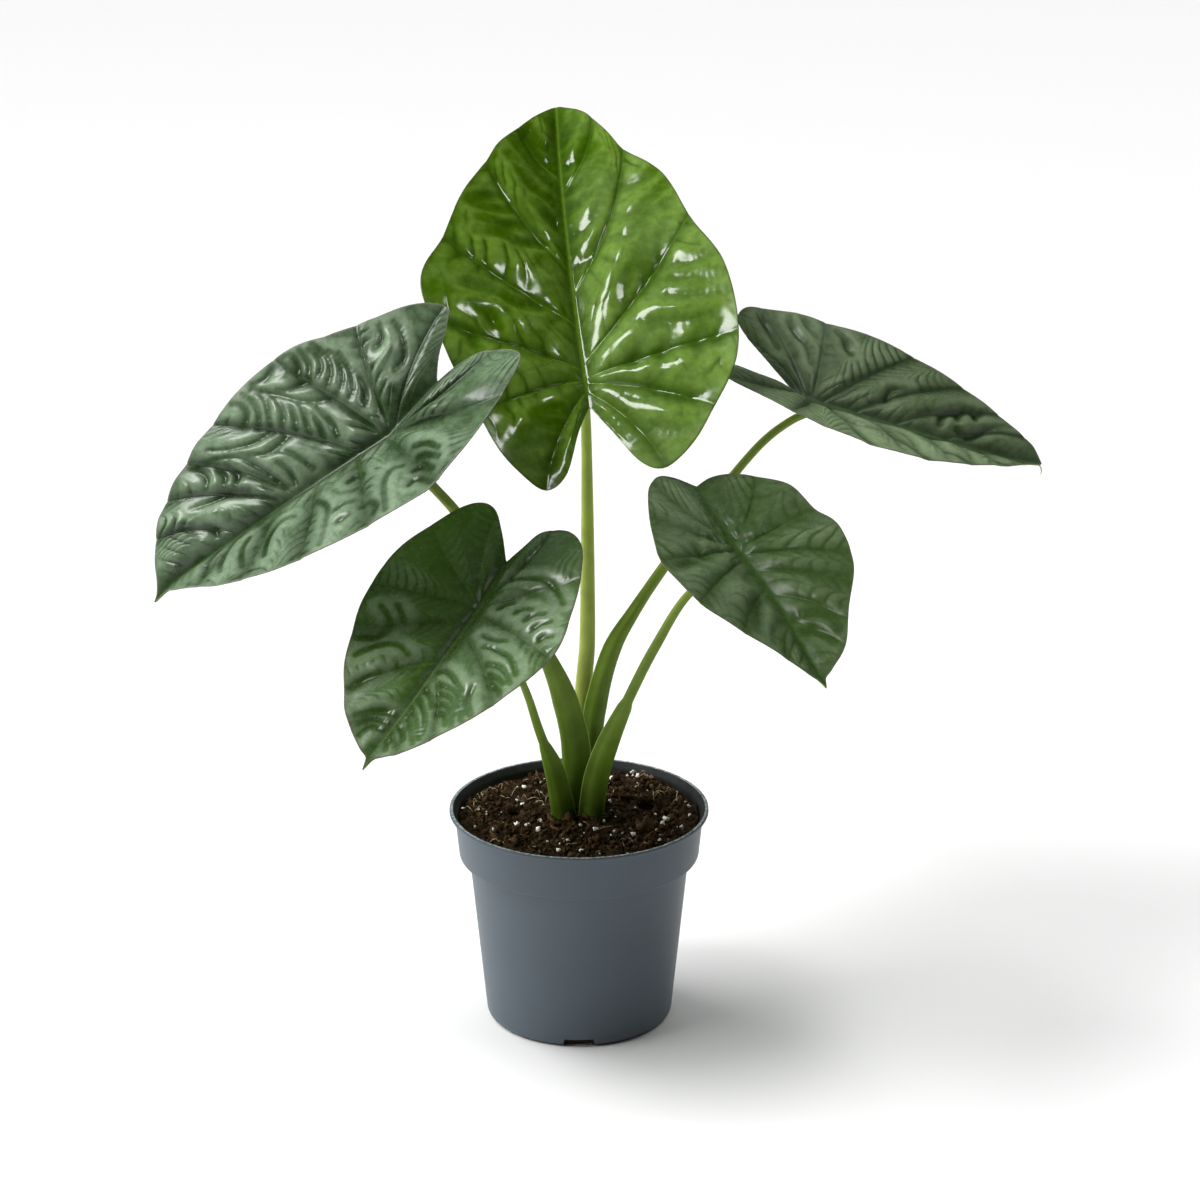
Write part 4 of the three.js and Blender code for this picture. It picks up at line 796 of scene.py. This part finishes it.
def half_blade(leaf, sign, stations, columns, seed):
    """One half of the sheet: its points on the flat blade, their heights and marks."""
    half = 0 if sign > 0 else 1
    tip, notch = leaf["tip"], leaf["notch"]
    lay = lay_out_half(leaf, sign, stations, columns)
    along, across, out, share, width = lay.along, lay.across, lay.out, lay.share, lay.width

    def wander(size, shift):
        """Smooth random numbers over this half, about size mm across."""
        return field(along, sign * across, size, seed + shift)

    # Panels swell between their veins.
    shape = np.sin(math.pi * lay.between ** np.where(lay.panel == 0, 1, leaf["skew"]))[:, None]
    shape = np.maximum(shape, 0)
    steep = 0.35 * leaf["vein_calm"]
    puff = PUFF * leaf["puffed"][half] * width
    puff = puff * (steep * np.sqrt(shape) + (1 - steep) * shape ** 1.3)
    puff = puff * ease(share, 0, 0.35) * (1 - 0.65 * ease(share, 0.6, 1))

    # Ribs fade out beside the creases.
    grown = ease(along, *leaf["rib_zone"])
    creased, beside = crease_marks(leaf, along, sign * across)
    zone = (leaf["rib_calm"] + (1 - leaf["rib_calm"]) * grown) * ease(beside, 3.5, 9)
    ribs, dips = rib_relief(leaf, lay, zone, wander)

    # Veins lie sunk in the sheet, and the midrib in a groove. The wide dark bands along them are colour
    # only, partly deeper green and partly painted shade.
    calm = leaf["vein_calm"] + (1 - leaf["vein_calm"]) * grown
    vein = np.exp(-(lay.nearest / VEIN_WIDTH) ** 2) * ease(out, 0, 6)
    vein = vein * (1 - 0.85 * ease(share, 0.1, 0.7)) * (0.3 + 0.7 * calm)
    furrow = np.exp(-(lay.nearest / leaf["furrow"][half]) ** 2) * ease(out, 2, 12) * calm
    trough = np.exp(-(across / 6) ** 2)
    rib_line = np.exp(-(across / 0.8) ** 2) * ease(along, notch, 0)
    groove_depth, groove_width = leaf["groove"]
    groove = groove_depth * np.exp(-(across / groove_width) ** 2)
    groove = groove * ease(tip - along, 0, 25) * ease(along, notch, 0)

    centre = np.exp(-((along + 9) ** 2 + across ** 2) / 15 ** 2) * ease(across, 0.5, 3)
    fine = leaf["fine"] * wander(3.2, 9) * ease(across, 1, 6)
    fine = fine + leaf["crinkle"] * centre * field(along / 1.6, sign * across, 3, seed + 15)
    raised = leaf["rib_rise"] * leaf["rib_sides"][half] * ribs
    raised = raised + leaf["lumps"] * wander(11, 12) * ease(across, 2, 12)
    raised = raised - leaf["crease_depth"] * creased * ease(across, 0.5, 5)
    raised = raised * leaf["sides"][half] * (1 - 0.6 * ease(-along, 18, 45))
    raised = raised * (1 - 0.75 * ease(share, 0.8, 1))
    height = puff + raised + fine - leaf["vein_depth"] * vein - groove
    height = height + 0.3 * rib_line * (1 - 0.8 * ease(along / tip, 0.25, 0.6))
    height = height * (1 - ease(along, tip * 0.93, tip))

    # The pale share of each half is partly a paler wax coat and partly painted light: higher on the half
    # that faces the lamps, changing towards the tip, and varying at random.
    middle = (leaf["bloom_and_light"][0] + leaf["bloom_and_light"][1]) / 2
    bloom_and_light = middle + (leaf["bloom_and_light"][half] - middle) * ease(across, 0, 8)
    bloom_and_light = bloom_and_light + leaf["bloom_and_light"][2] * (along / tip) + 0.45 * wander(30, 70)
    # Pale bands on the crests beside the creases: partly paler wax and partly painted highlight.
    crest_tint_and_highlight = ease(beside / leaf["crease_width"], 0.4, 1.1) * (1 - ease(beside, 4, 8))
    # The dark valley colour goes on creases, dips between ribs and bands along the veins and midrib:
    # partly deeper green and partly painted shade.
    marks = {
        "vein": np.maximum(vein, rib_line),
        "valley_tint_and_shade": np.clip(dips + 0.6 * creased + 0.85 * np.maximum(furrow, trough), 0, 1),
        "rise": np.clip(ribs + crest_tint_and_highlight, 0, 1),
        "rim": ease(out, width - 1.3, width - 0.2) * (share > 0.5),
        "bloom_and_light": np.clip(bloom_and_light, 0, 1),
    }
    return along, sign * across, height, marks


def grid_faces(grid, flip):
    """The faces between the rows and columns of a grid of points, without the empty ones."""
    a, b, c, d = grid[:-1, :-1], grid[:-1, 1:], grid[1:, 1:], grid[1:, :-1]
    corners = (a, d, c, b) if flip else (a, b, c, d)
    faces = zip(*(corner.ravel().tolist() for corner in corners))
    faces = [list(dict.fromkeys(face)) for face in faces]
    return [face for face in faces if len(face) > 2]


def keel(leaf, stations):
    """Depth of the midrib below the sheet: full at the stalk and slim at both ends."""
    share = np.where(stations > 0, stations / leaf["tip"], stations / leaf["notch"])
    return MIDRIB_DEPTH * (1 - 0.85 * np.clip(share, 0, 1))


def blade_sheet(leaf, seed):
    """The sheet: upper points, upper and lower faces, rim, and the depth and marks of each point."""
    stops = sorted(
        {leaf["tip"], leaf["notch"], *(root for root, end in leaf["left_veins"] + leaf["right_veins"])},
        reverse=True)
    halves = {}
    for name in ("left", "right"):
        line = [(leaf["tip"], 0), *leaf[name + "_veins"], (leaf["notch"], 1)]
        _, length = smooth_line([(leaf["tip"], 0), *leaf[name], (leaf["notch"], 0)])
        halves[name] = (-np.array([p[0] for p in line]), np.array([p[1] for p in line]) * length)
    stations = []
    for high, low in zip(stops, stops[1:]):
        runs = [np.interp(-low, *half) - np.interp(-high, *half) for half in halves.values()]
        count = 2 * math.ceil(max(*runs, high - low) / leaf["grid"][0] / 2)
        stations += list(np.linspace(high, low, count, endpoint=False))
    stations = np.array(stations + [leaf["notch"]])
    reach = max(abs(p[1]) for p in leaf["left"] + leaf["right"])
    count = 2 * math.ceil(reach * 1.15 / leaf["grid"][1] / 2)
    even = np.linspace(0, 1, count + 1)
    columns = 0.55 * even + 0.45 * (1 - np.cos(math.pi * even)) / 2

    points, marks, faces, under, rim = [], {}, [], [], []
    rows, width = len(stations), len(columns)
    spine = np.arange(rows)
    for sign in (1, -1):
        along, across, height, found = half_blade(leaf, sign, stations, columns, seed + sign)
        grid = np.empty((rows, width), int)
        grid[:, 0] = spine
        if sign > 0:
            points.append(place_on_blade(leaf, along[:, 0], across[:, 0] * 0, height[:, 0]))
            for key, value in found.items():
                marks[key] = [value[:, 0]]
            marks["thick"] = [BLADE_THICKNESS + keel(leaf, stations)]
            total = rows
        inside = slice(1, rows - 1)
        count = (rows - 2) * (width - 1)
        grid[inside, 1:] = total + np.arange(count).reshape(rows - 2, width - 1)
        grid[0, :], grid[-1, :] = 0, rows - 1
        total += count
        points.append(place_on_blade(
            leaf, along[inside, 1:], across[inside, 1:], height[inside, 1:]).reshape(-1, 3))
        for key, value in found.items():
            marks[key].append(value[inside, 1:].ravel())
        near = np.exp(-(np.abs(across) / MIDRIB_WIDTH) ** 2) * keel(leaf, stations)[:, None]
        thick = BLADE_THICKNESS + near + 0.5 * found["vein"] * (np.abs(across) > 2)
        thin = ease(columns, 0.94, 1)[None, :]
        thick = thick * (1 - thin) + MARGIN_THICKNESS * thin
        marks["thick"].append(thick[inside, 1:].ravel())
        faces += grid_faces(grid, sign < 0)
        under += grid_faces(grid[::2, ::2], sign > 0)  # the lower face needs only half the rows
        edge = [int(v) for v in grid[:, -1]]
        rim += edge[:-1] if sign > 0 else edge[::-1][:-1]
    marks = {key: np.concatenate(values) for key, values in marks.items()}
    return np.concatenate(points), faces, under, rim, marks


def normals_of(points, faces):
    """Smooth unit normals of a sheet."""
    normals = np.zeros_like(points)
    for size in (3, 4):
        some = np.array([face for face in faces if len(face) == size])
        if len(some):
            # The last corner of a triangle stands for its third and its fourth.
            a, b, c, d = (points[some[:, corner]] for corner in (0, 1, 2, size - 1))
            cross = np.cross(c - a, d - b)
            for corner in range(size):
                np.add.at(normals, some[:, corner], cross)
    return normals / np.maximum(np.linalg.norm(normals, axis=1), 1e-12)[:, None]


def leaf_face(name, green, bloomed_and_lit, ridge_tint_and_highlight, valley_tint_and_shade, vein, rim, freckles, gloss, texture=0.16, **values):
    """The waxy upper face of a blade, with its colours from the marks of the sheet."""
    finish, shader, place = new_finish(name, IOR=1.45, **values)
    mark = {key: add_node(finish, "Attribute", attribute_name=key).outputs["Fac"] for key in MARKS}
    mottle = add_node(
        finish, "TexNoise", {"Scale": 1 / (3.5 * MM), "Detail": 4, "Roughness": 0.6}, {"Vector": place})
    cloud = add_node(
        finish, "TexNoise", {"Scale": 1 / (14 * MM), "Detail": 3, "Roughness": 0.6}, {"Vector": place})
    drift = add_node(
        finish, "MapRange", {"From Min": 0.3, "From Max": 0.7, "To Min": -0.25, "To Max": 0.25},
        {"Value": cloud})
    # The pale colour is partly a wax coat and partly painted light.
    share = add_node(
        finish, "Math", links={0: mark["bloom_and_light"], 1: drift}, operation="ADD", use_clamp=True)
    tone = mix_colours(finish, share, green, bloomed_and_lit)
    # Crests get a colour that is partly paler wax and partly painted highlight, and valleys one that is
    # partly deeper green and partly painted shade.
    layers = (("rise", 0.5, ridge_tint_and_highlight), ("valley_tint_and_shade", 0.85, valley_tint_and_shade), ("vein", 0.75, vein), ("rim", 0.7, rim))
    for key, strength, colour in layers:
        cover = add_node(finish, "Math", {1: strength}, {0: mark[key]}, operation="MULTIPLY")
        tone = mix_colours(finish, cover, tone, colour)
    freckle = add_node(
        finish, "MapRange",
        {"From Min": 0.3, "From Max": 0.7, "To Min": freckles[0], "To Max": freckles[1]},
        {"Value": mottle})
    shaded = add_node(finish, "VectorMath", links={0: tone, "Scale": freckle}, operation="SCALE")
    feed(shader, "Base Color", shaded)
    wax = add_node(finish, "TexNoise", {"Scale": 1 / (0.8 * MM), "Detail": 2}, {"Vector": place})
    skin = add_node(finish, "Bump", {"Strength": texture, "Distance": 0.12 * MM}, {"Height": wax})
    feed(shader, "Normal", skin)
    polish = add_node(
        finish, "MapRange", {"From Min": 0.3, "From Max": 0.7, "To Min": gloss[0], "To Max": gloss[1]},
        {"Value": mottle})
    feed(shader, "Roughness", polish)
    return finish


# Leaf cuticle: a smooth coat of plant wax over green tissue. The pale colour is partly a paler wax coat
# and partly painted light, higher on the half that faces the lamps. Crests are partly paler wax and partly
# painted highlight, valleys partly deeper green and partly painted shade. Freckles are the range of light
# and dark spots, and gloss is the range of roughness, lower where the wax is whole.
# The youngest leaf: bright yellow-green and very glossy.
young_face = leaf_face(
    "waxy young leaf", green="#3f5d02", bloomed_and_lit="#6b8742", ridge_tint_and_highlight="#6c8a35", valley_tint_and_shade="#294403",
    vein="#56761a", rim="#3f5216", freckles=(0.84, 1.14), gloss=(0.11, 0.18), texture=0.04,
    Specular_IOR_Level=0.6)
# A leaf with a layer of air under its skin: silvery grey-green, with dark valleys that are partly
# deeper green and partly painted shade.
silvery_face = leaf_face(
    "silvered leaf", green="#2a401e", bloomed_and_lit="#6a8063", ridge_tint_and_highlight="#879c80", valley_tint_and_shade="#16280b",
    vein="#2a4219", rim="#6f7364", freckles=(0.86, 1.1), gloss=(0.22, 0.34), Specular_IOR_Level=0.5)
# A grown leaf: deep green, with pale grey crests that are partly paler wax and partly painted highlight.
grown_face = leaf_face(
    "waxy grown leaf", green="#39590f", bloomed_and_lit="#4a633e", ridge_tint_and_highlight="#8a9d80", valley_tint_and_shade="#24370f",
    vein="#3d5826", rim="#4d4a38", freckles=(0.86, 1.12), gloss=(0.2, 0.32), texture=0.1,
    Specular_IOR_Level=0.6)
# An older leaf: grey-green, with its wax worn dull.
weathered_face = leaf_face(
    "weathered leaf", green="#435432", bloomed_and_lit="#6c805c", ridge_tint_and_highlight="#7f9270", valley_tint_and_shade="#22341a",
    vein="#48633a", rim="#6a6c58", freckles=(0.84, 1.14), gloss=(0.3, 0.42), Specular_IOR_Level=0.4)
# A small smooth leaf: dark green with few reflections.
dark_face = leaf_face(
    "waxy dark leaf", green="#37482a", bloomed_and_lit="#55664c", ridge_tint_and_highlight="#62734f", valley_tint_and_shade="#2b4116",
    vein="#2b4516", rim="#4d5238", freckles=(0.86, 1.12), gloss=(0.2, 0.32), texture=0.08,
    Specular_IOR_Level=0.18)

# Leaf underside: paler and dull, without the wax, and its veins stand out.
underside, shader, place = new_finish("dull leaf underside", IOR=1.4, Roughness=0.55)
ribbing = add_node(underside, "Attribute", attribute_name="vein").outputs["Fac"]
mottle = add_node(underside, "TexNoise", {"Scale": 1 / (6 * MM), "Detail": 3}, {"Vector": place})
tone = mix_colours(underside, mottle, "#6d8a55", "#7f9a68")
tone = mix_colours(underside, ribbing, tone, "#93a86a")
feed(shader, "Base Color", tone)

FACE_OF = {
    "leaf_1": (young_face, "young_leaf"), "leaf_2": (silvery_face, "silvery_leaf"),
    "leaf_3": (grown_face, "grown_leaf"), "leaf_4": (weathered_face, "grown_leaf"),
    "leaf_5": (dark_face, "dark_leaf"),
}
for number, (node, leaf) in enumerate(BLADES.items()):
    top, sheet, under, rim, marks = blade_sheet(leaf, 20 * number + 3)
    normals = normals_of(top, sheet)
    used = sorted({point for face in under for point in face})
    bottom = (top - normals * marks["thick"][:, None])[used]
    below = dict(zip(used, range(len(top), len(top) + len(used))))
    faces = [*sheet, *([below[point] for point in face] for face in under)]
    kinds = [0] * len(sheet) + [1] * len(under)
    for start, middle, end in zip(rim[::2], rim[1::2], rim[2::2] + rim[:1]):
        faces.append([start, below[start], below[end], end, middle])
        kinds.append(0)
    face, slot = FACE_OF[node]
    blade = add_piece(
        node + "_blade", np.concatenate([top, bottom]), faces, [face, underside], [node], kinds)
    for key in MARKS:
        store(blade, key, np.concatenate([marks[key], marks[key][used]]))

# Drip tip
# The blade of leaf 4 ends in a dry thread that curls down, the last of the tissue that was rolled
# round the leaf before it opened. It grew with the blade.

leaf = BLADES["leaf_4"]
tip = place_on_blade(leaf, np.array(leaf["tip"] - 2.5), np.array(0.0), np.array(-0.5))
THREAD = [(0, 0, 0), (1.2, -0.2, -0.6), (2.0, -0.5, -1.8), (2.2, -0.9, -3.4), (1.9, -1.3, -5.0)]
THREAD_RADII = [0.55, 0.42, 0.32, 0.24, 0.12]
THREAD_SIDES = 8
points = []
for offset, radius in zip(THREAD, THREAD_RADII):
    for turn in np.linspace(0, 2 * math.pi, THREAD_SIDES, endpoint=False):
        points.append(tip + offset + radius * np.array([math.cos(turn), math.sin(turn), 0]))
faces = tube_faces(0, THREAD_SIDES, len(THREAD), flip=True)
add_piece("leaf_4_drip_tip", points, faces, [underside])

# Leaf stalks
# Each leaf has one juicy stalk. Its foot is broad and wraps the younger stalks with a thin-edged
# sheath, and above that it is round and slim and turns square to the underside of its blade.

# Path: middle of the stalk in mm, before the bend at the blade. Section: height, half width and
# half depth. Sheath: side of its thin edge (-1 left, 1 right) and the heights where it thins out.
STALKS = {
    "stalk_1": dict(
        leaf="leaf_1", slot="young_stalk", sheath=(1, 120, 150),
        path=[(0.6, 12.6, 82), (0.6, 12.8, 98), (1, 14.3, 130), (2, 16, 155), (3.7, 18, 175),
              (4, 21.5, 201), (3.8, 30, 251), (3.2, 36, 280)],
        section=[(82, 4, 3.6), (98, 4.1, 3.6), (155, 3.9, 3.8), (175, 3.7, 3.7), (201, 3.4, 3.4),
                 (254, 2.6, 2.6), (300, 2.1, 2.1)]),
    "stalk_2": dict(
        leaf="leaf_2", slot="grown_stalk", sheath=(1, 176, 196),
        path=[(-4.4, 3.2, 82), (-4.2, 3.2, 98), (-1.3, 0, 130.5), (-6.4, -2.5, 157),
              (-12.7, -5, 175), (-19, -6.5, 188), (-35, -8, 219), (-54.5, -10, 250), (-72, -21, 274.5)],
        section=[(82, 5.2, 3.7), (98, 5.4, 3.7), (118, 6.4, 3.5), (130, 6.8, 3.2), (157, 6, 3.2),
                 (175, 4.3, 3), (190, 3.2, 2.8), (219, 2.6, 2.6), (252, 2.4, 2.4), (290, 2.1, 2.1)]),
    "stalk_3": dict(
        leaf="leaf_3", slot="grown_stalk", sheath=(1, 134, 148),
        path=[(-6.8, -4.8, 82), (-6.8, -5, 98), (-10.4, -10, 122), (-12.8, -14.4, 132), (-14.6, -17, 138),
              (-16.4, -20, 144), (-18.3, -23, 151), (-24, -35, 175), (-33, -47, 199)],
        section=[(82, 5.4, 3.7), (98, 5.8, 3.7), (122, 5, 3.4), (132, 4.2, 3.1), (138, 3.2, 2.7),
                 (140.5, 2.8, 2.5), (142.5, 2.2, 2.2), (151, 2.1, 2.1),
                 (175, 1.7, 1.7), (220, 1.7, 1.7)]),
    "stalk_4": dict(
        leaf="leaf_4", slot="grown_stalk", sheath=(-1, 190, 208),
        path=[(7, 6, 82), (7, 6.2, 98), (6, 8.2, 132), (7.8, 8.6, 150), (15.5, 12.5, 177),
              (25, 18.5, 192), (38.7, 28, 210), (62, 41.5, 238.5), (85.8, 52, 264.2), (98.5, 56.2, 272.6)],
        section=[(82, 4.6, 3.6), (98, 4.8, 3.6), (132, 5, 3), (150, 5.2, 3), (162, 4.7, 3),
                 (177, 4.3, 2.9), (192, 3.1, 2.7), (201, 2.7, 2.5), (240, 2.1, 2.1), (285, 1.8, 1.8)]),
    "stalk_5": dict(
        leaf="leaf_5", slot="grown_stalk", sheath=(-1, 150, 170),
        path=[(5.8, -3.6, 82), (5.6, -3.8, 98), (8, -7.2, 120), (12.7, -12.5, 138),
              (21.6, -20, 162), (34.6, -28.5, 193), (50.6, -38, 223)],
        section=[(82, 5.7, 3.7), (98, 6, 3.7), (120, 5.9, 3.5), (138, 5.3, 3.2), (151, 4.3, 3),
                 (160, 3.5, 2.8), (163.5, 2.5, 2.5), (193, 2.3, 2.3), (225, 1.8, 1.8), (245, 1.7, 1.7)]),
}
BLADE_BEND = 5  # length of the end that stands square to the blade
FLARE, FLARE_LENGTH = 0.3, 6  # how much a stalk widens at its blade, and over what length
SHEATH_THIN = 0.72  # how much thinner the edge of a sheath is than its middle
SKIN_FOOT, SKIN_SPAN = 95, 200  # lowest height and height range of the colours of the skin
STREAKS = 4
STALK_TURNS, STALK_RING = 32, 1.6  # points round a stalk and length between its rings


def stalk_line(knots, spacing):
    """Evenly spaced points on a smooth line through uneven knots, and its directions."""
    knots = [np.array(knot, float) for knot in knots]
    knots = [2 * knots[0] - knots[1], *knots, 2 * knots[-1] - knots[-2]]
    line = []
    for p0, p1, p2, p3 in zip(knots, knots[1:], knots[2:], knots[3:]):
        d0, d1, d2 = (math.sqrt(np.linalg.norm(b - a)) for a, b in ((p0, p1), (p1, p2), (p2, p3)))
        start = ((p1 - p0) / d0 - (p2 - p0) / (d0 + d1) + (p2 - p1) / d1) * d1
        end = ((p2 - p1) / d1 - (p3 - p1) / (d1 + d2) + (p3 - p2) / d2) * d1
        for t in np.linspace(0, 1, 60, endpoint=False):
            line.append(p1 + start * t + (-3 * p1 + 3 * p2 - 2 * start - end) * t ** 2
                        + (2 * p1 - 2 * p2 + start + end) * t ** 3)
    line = np.array(line + [knots[-2]])
    run = np.concatenate([[0], np.cumsum(np.linalg.norm(np.diff(line, axis=0), axis=1))])
    even = np.linspace(0, run[-1], math.ceil(run[-1] / spacing))
    points = np.stack([np.interp(even, run, line[:, axis]) for axis in range(3)], 1)
    ahead = np.gradient(points, axis=0)
    return points, ahead / np.linalg.norm(ahead, axis=1)[:, None]


def stalk_finish(name, foot, middle, top, pale):
    """The skin of a stalk: smooth and juicy, streaked lengthwise, paler at the sheath's edge."""
    finish, shader, place = new_finish(name, IOR=1.42, Specular_IOR_Level=0.2)
    height = add_node(finish, "Attribute", attribute_name="height").outputs["Fac"]
    around = add_node(finish, "Attribute", attribute_name="around").outputs["Fac"]
    edge = add_node(finish, "Attribute", attribute_name="edge").outputs["Fac"]
    # Colours change with height: the grown stalks darken towards the foot, and the young stalk's foot is
    # painted a little paler, as painted light where the other stalks shade it.
    low = add_node(finish, "MapRange", {"From Min": 0.0, "From Max": 0.28}, {"Value": height})
    high = add_node(finish, "MapRange", {"From Min": 0.28, "From Max": 0.75}, {"Value": height})
    tone = mix_colours(finish, low, foot, middle)
    tone = mix_colours(finish, high, tone, top)
    spot = add_node(finish, "CombineXYZ", links={0: around, 1: height})
    stretched = add_node(finish, "VectorMath", {1: (3, 4, 1)}, {0: spot}, operation="MULTIPLY")
    streak = add_node(finish, "TexNoise", {"Scale": 1.0, "Detail": 3}, {"Vector": stretched})
    blotch = add_node(finish, "TexNoise", {"Scale": 1 / (9 * MM), "Detail": 3}, {"Vector": place})
    light = add_node(
        finish, "MapRange", {"From Min": 0.35, "From Max": 0.7, "To Max": 0.16}, {"Value": streak})
    tone = mix_colours(finish, light, tone, pale)
    dim = add_node(
        finish, "MapRange", {"From Min": 0.35, "From Max": 0.7, "To Min": 1.08, "To Max": 0.86},
        {"Value": blotch})
    tone = mix_colours(finish, edge, tone, pale)
    shaded = add_node(finish, "VectorMath", links={0: tone, "Scale": dim}, operation="SCALE")
    feed(shader, "Base Color", shaded)
    gloss = add_node(finish, "MapRange", {"To Min": 0.36, "To Max": 0.5}, {"Value": blotch})
    feed(shader, "Roughness", gloss)
    furrow = add_node(finish, "Bump", {"Strength": 0.1, "Distance": 0.2 * MM}, {"Height": streak})
    feed(shader, "Normal", furrow)
    return finish


# Stalk skin: juicy green tissue under a thin waxy skin, yellower on the youngest leaf.
SKINS = {
    "young_stalk": stalk_finish("juicy young stalk", "#a3ab50", "#98a34c", "#97a94c", "#b4bd74"),
    "grown_stalk": stalk_finish("juicy grown stalk", "#405a0a", "#58731c", "#738537", "#90a256"),
}

for node, stalk in STALKS.items():
    leaf = BLADES[stalk["leaf"]]
    up = blade_axes(leaf)[2]
    seat = np.array(leaf["at"], float)
    under = BLADE_THICKNESS + 0.35 * MIDRIB_DEPTH + leaf["groove"][0]
    knots = [*stalk["path"], seat - up * (BLADE_BEND + under), seat - up * under]
    line, ahead = stalk_line(knots, STALK_RING)
    section = np.array(stalk["section"], float)
    half_width = np.interp(line[:, 2], section[:, 0], section[:, 1])
    half_depth = np.interp(line[:, 2], section[:, 0], section[:, 2])
    side, low, high = stalk["sheath"]
    sheathed = 1 - ease(line[:, 2], low, high)
    to_blade = np.linalg.norm(line - line[-1], axis=1)
    flare = 1 + FLARE * (1 - ease(to_blade, 0, FLARE_LENGTH))
    widthward = np.cross([0, 1, 0], ahead)
    widthward /= np.linalg.norm(widthward, axis=1)[:, None]
    depthward = np.cross(ahead, widthward)
    points, edges, rounds, heights = [], [], [], []
    for ring in range(len(line)):
        for turn in np.linspace(0, 2 * math.pi, STALK_TURNS, endpoint=False):
            toward = side * math.cos(turn)
            thin = 1 - SHEATH_THIN * sheathed[ring] * ease(toward, -0.1, 1.0)
            offset = (widthward[ring] * math.cos(turn) * half_width[ring]
                      + depthward[ring] * math.sin(turn) * half_depth[ring] * thin)
            points.append(line[ring] + offset * flare[ring])
            edges.append(sheathed[ring] * ease(toward, 0.93, 0.995))
            rounds.append(turn / (2 * math.pi) * STREAKS)
            heights.append((line[ring][2] - SKIN_FOOT) / SKIN_SPAN)
    faces = tube_faces(0, STALK_TURNS, len(line), flip=True)
    piece = add_piece(
        node + "_skin", points, faces, [SKINS[stalk["slot"]]], [node])
    store(piece, "edge", edges)
    store(piece, "around", rounds)
    store(piece, "height", heights)

# Studio
# A plain white floor that runs out of the picture. A broad soft light from the left lights the
# plant, two square lamps give its leaves their gloss, and the surroundings are bright only behind.
# The broad light and the surroundings don't mirror in the leaves, which they would veil.

FLOOR = 9  # metres from the middle to each side
floor_mesh = bpy.data.meshes.new("floor")
corners = [(-FLOOR, -FLOOR, 0), (FLOOR, -FLOOR, 0), (FLOOR, FLOOR, 0), (-FLOOR, FLOOR, 0)]
floor_mesh.from_pydata(corners, [], [(0, 1, 2, 3)])
floor = bpy.data.objects.new("floor", floor_mesh)
bpy.context.scene.collection.objects.link(floor)
paper, shader, _ = new_finish("white studio paper", Roughness=0.9, Specular_IOR_Level=0.1)
shader.inputs["Base Color"].default_value = (0.8, 0.8, 0.8, 1)
floor_mesh.materials.append(paper)


def add_light(name, kind, place, aim, energy, **settings):
    """A light at a place in metres, turned to what it lights."""
    lamp = bpy.data.lights.new(name, kind)
    lamp.energy = energy
    for option, setting in settings.items():
        setattr(lamp, option, setting)
    light = bpy.data.objects.new(name, lamp)
    bpy.context.scene.collection.objects.link(light)
    light.location = place
    light.rotation_euler = (Vector(aim) - Vector(place)).to_track_quat("-Z", "Y").to_euler()
    return light


LEAVES = (0.02, 0, 0.3)  # middle of the leaves
add_light("overhead", "AREA", (-0.86, -0.3, 1.72), LEAVES, 18, size=0.62)
add_light("top", "AREA", (0.62, -0.35, 1.45), LEAVES, 2.2, size=0.22)
key = add_light("key", "SUN", (0, 0, 0), (0.86, -0.1, -0.52), 4.35, angle=math.radians(78))
key.visible_glossy = False
world = bpy.data.worlds.new("studio")
world.use_nodes = True
background = world.node_tree.nodes["Background"]
background.inputs["Color"].default_value = (1, 1, 1, 1)
way = add_node(world, "TexCoord").outputs["Generated"]
behind = add_node(world, "SeparateXYZ", links={0: way}).outputs["Y"]
fade = add_node(
    world, "MapRange", {"From Min": -0.3, "From Max": 0.5, "To Min": 0.05, "To Max": 0.85},
    {"Value": behind}, interpolation_type="SMOOTHSTEP")
feed(background, "Strength", fade)
world.cycles_visibility.glossy = False
bpy.context.scene.world = world
bpy.context.scene.view_settings.view_transform = "Standard"

# Camera
# It stands 2 m off at 20 degrees above the horizon and looks along +Y at the middle of the plant.

PITCH, DISTANCE, AIM, LENS = 20.33, 2.0, Vector((0.0097, 0, 0.20474)), 131.86
lens = bpy.data.cameras.new("camera")
lens.sensor_width, lens.lens = 36, LENS
camera = bpy.data.objects.new("camera", lens)
bpy.context.scene.collection.objects.link(camera)
tilt = math.radians(PITCH)
camera.location = AIM - DISTANCE * Vector((0, math.cos(tilt), -math.sin(tilt)))
camera.rotation_euler = (math.pi / 2 - tilt, 0, 0)
bpy.context.scene.camera = camera
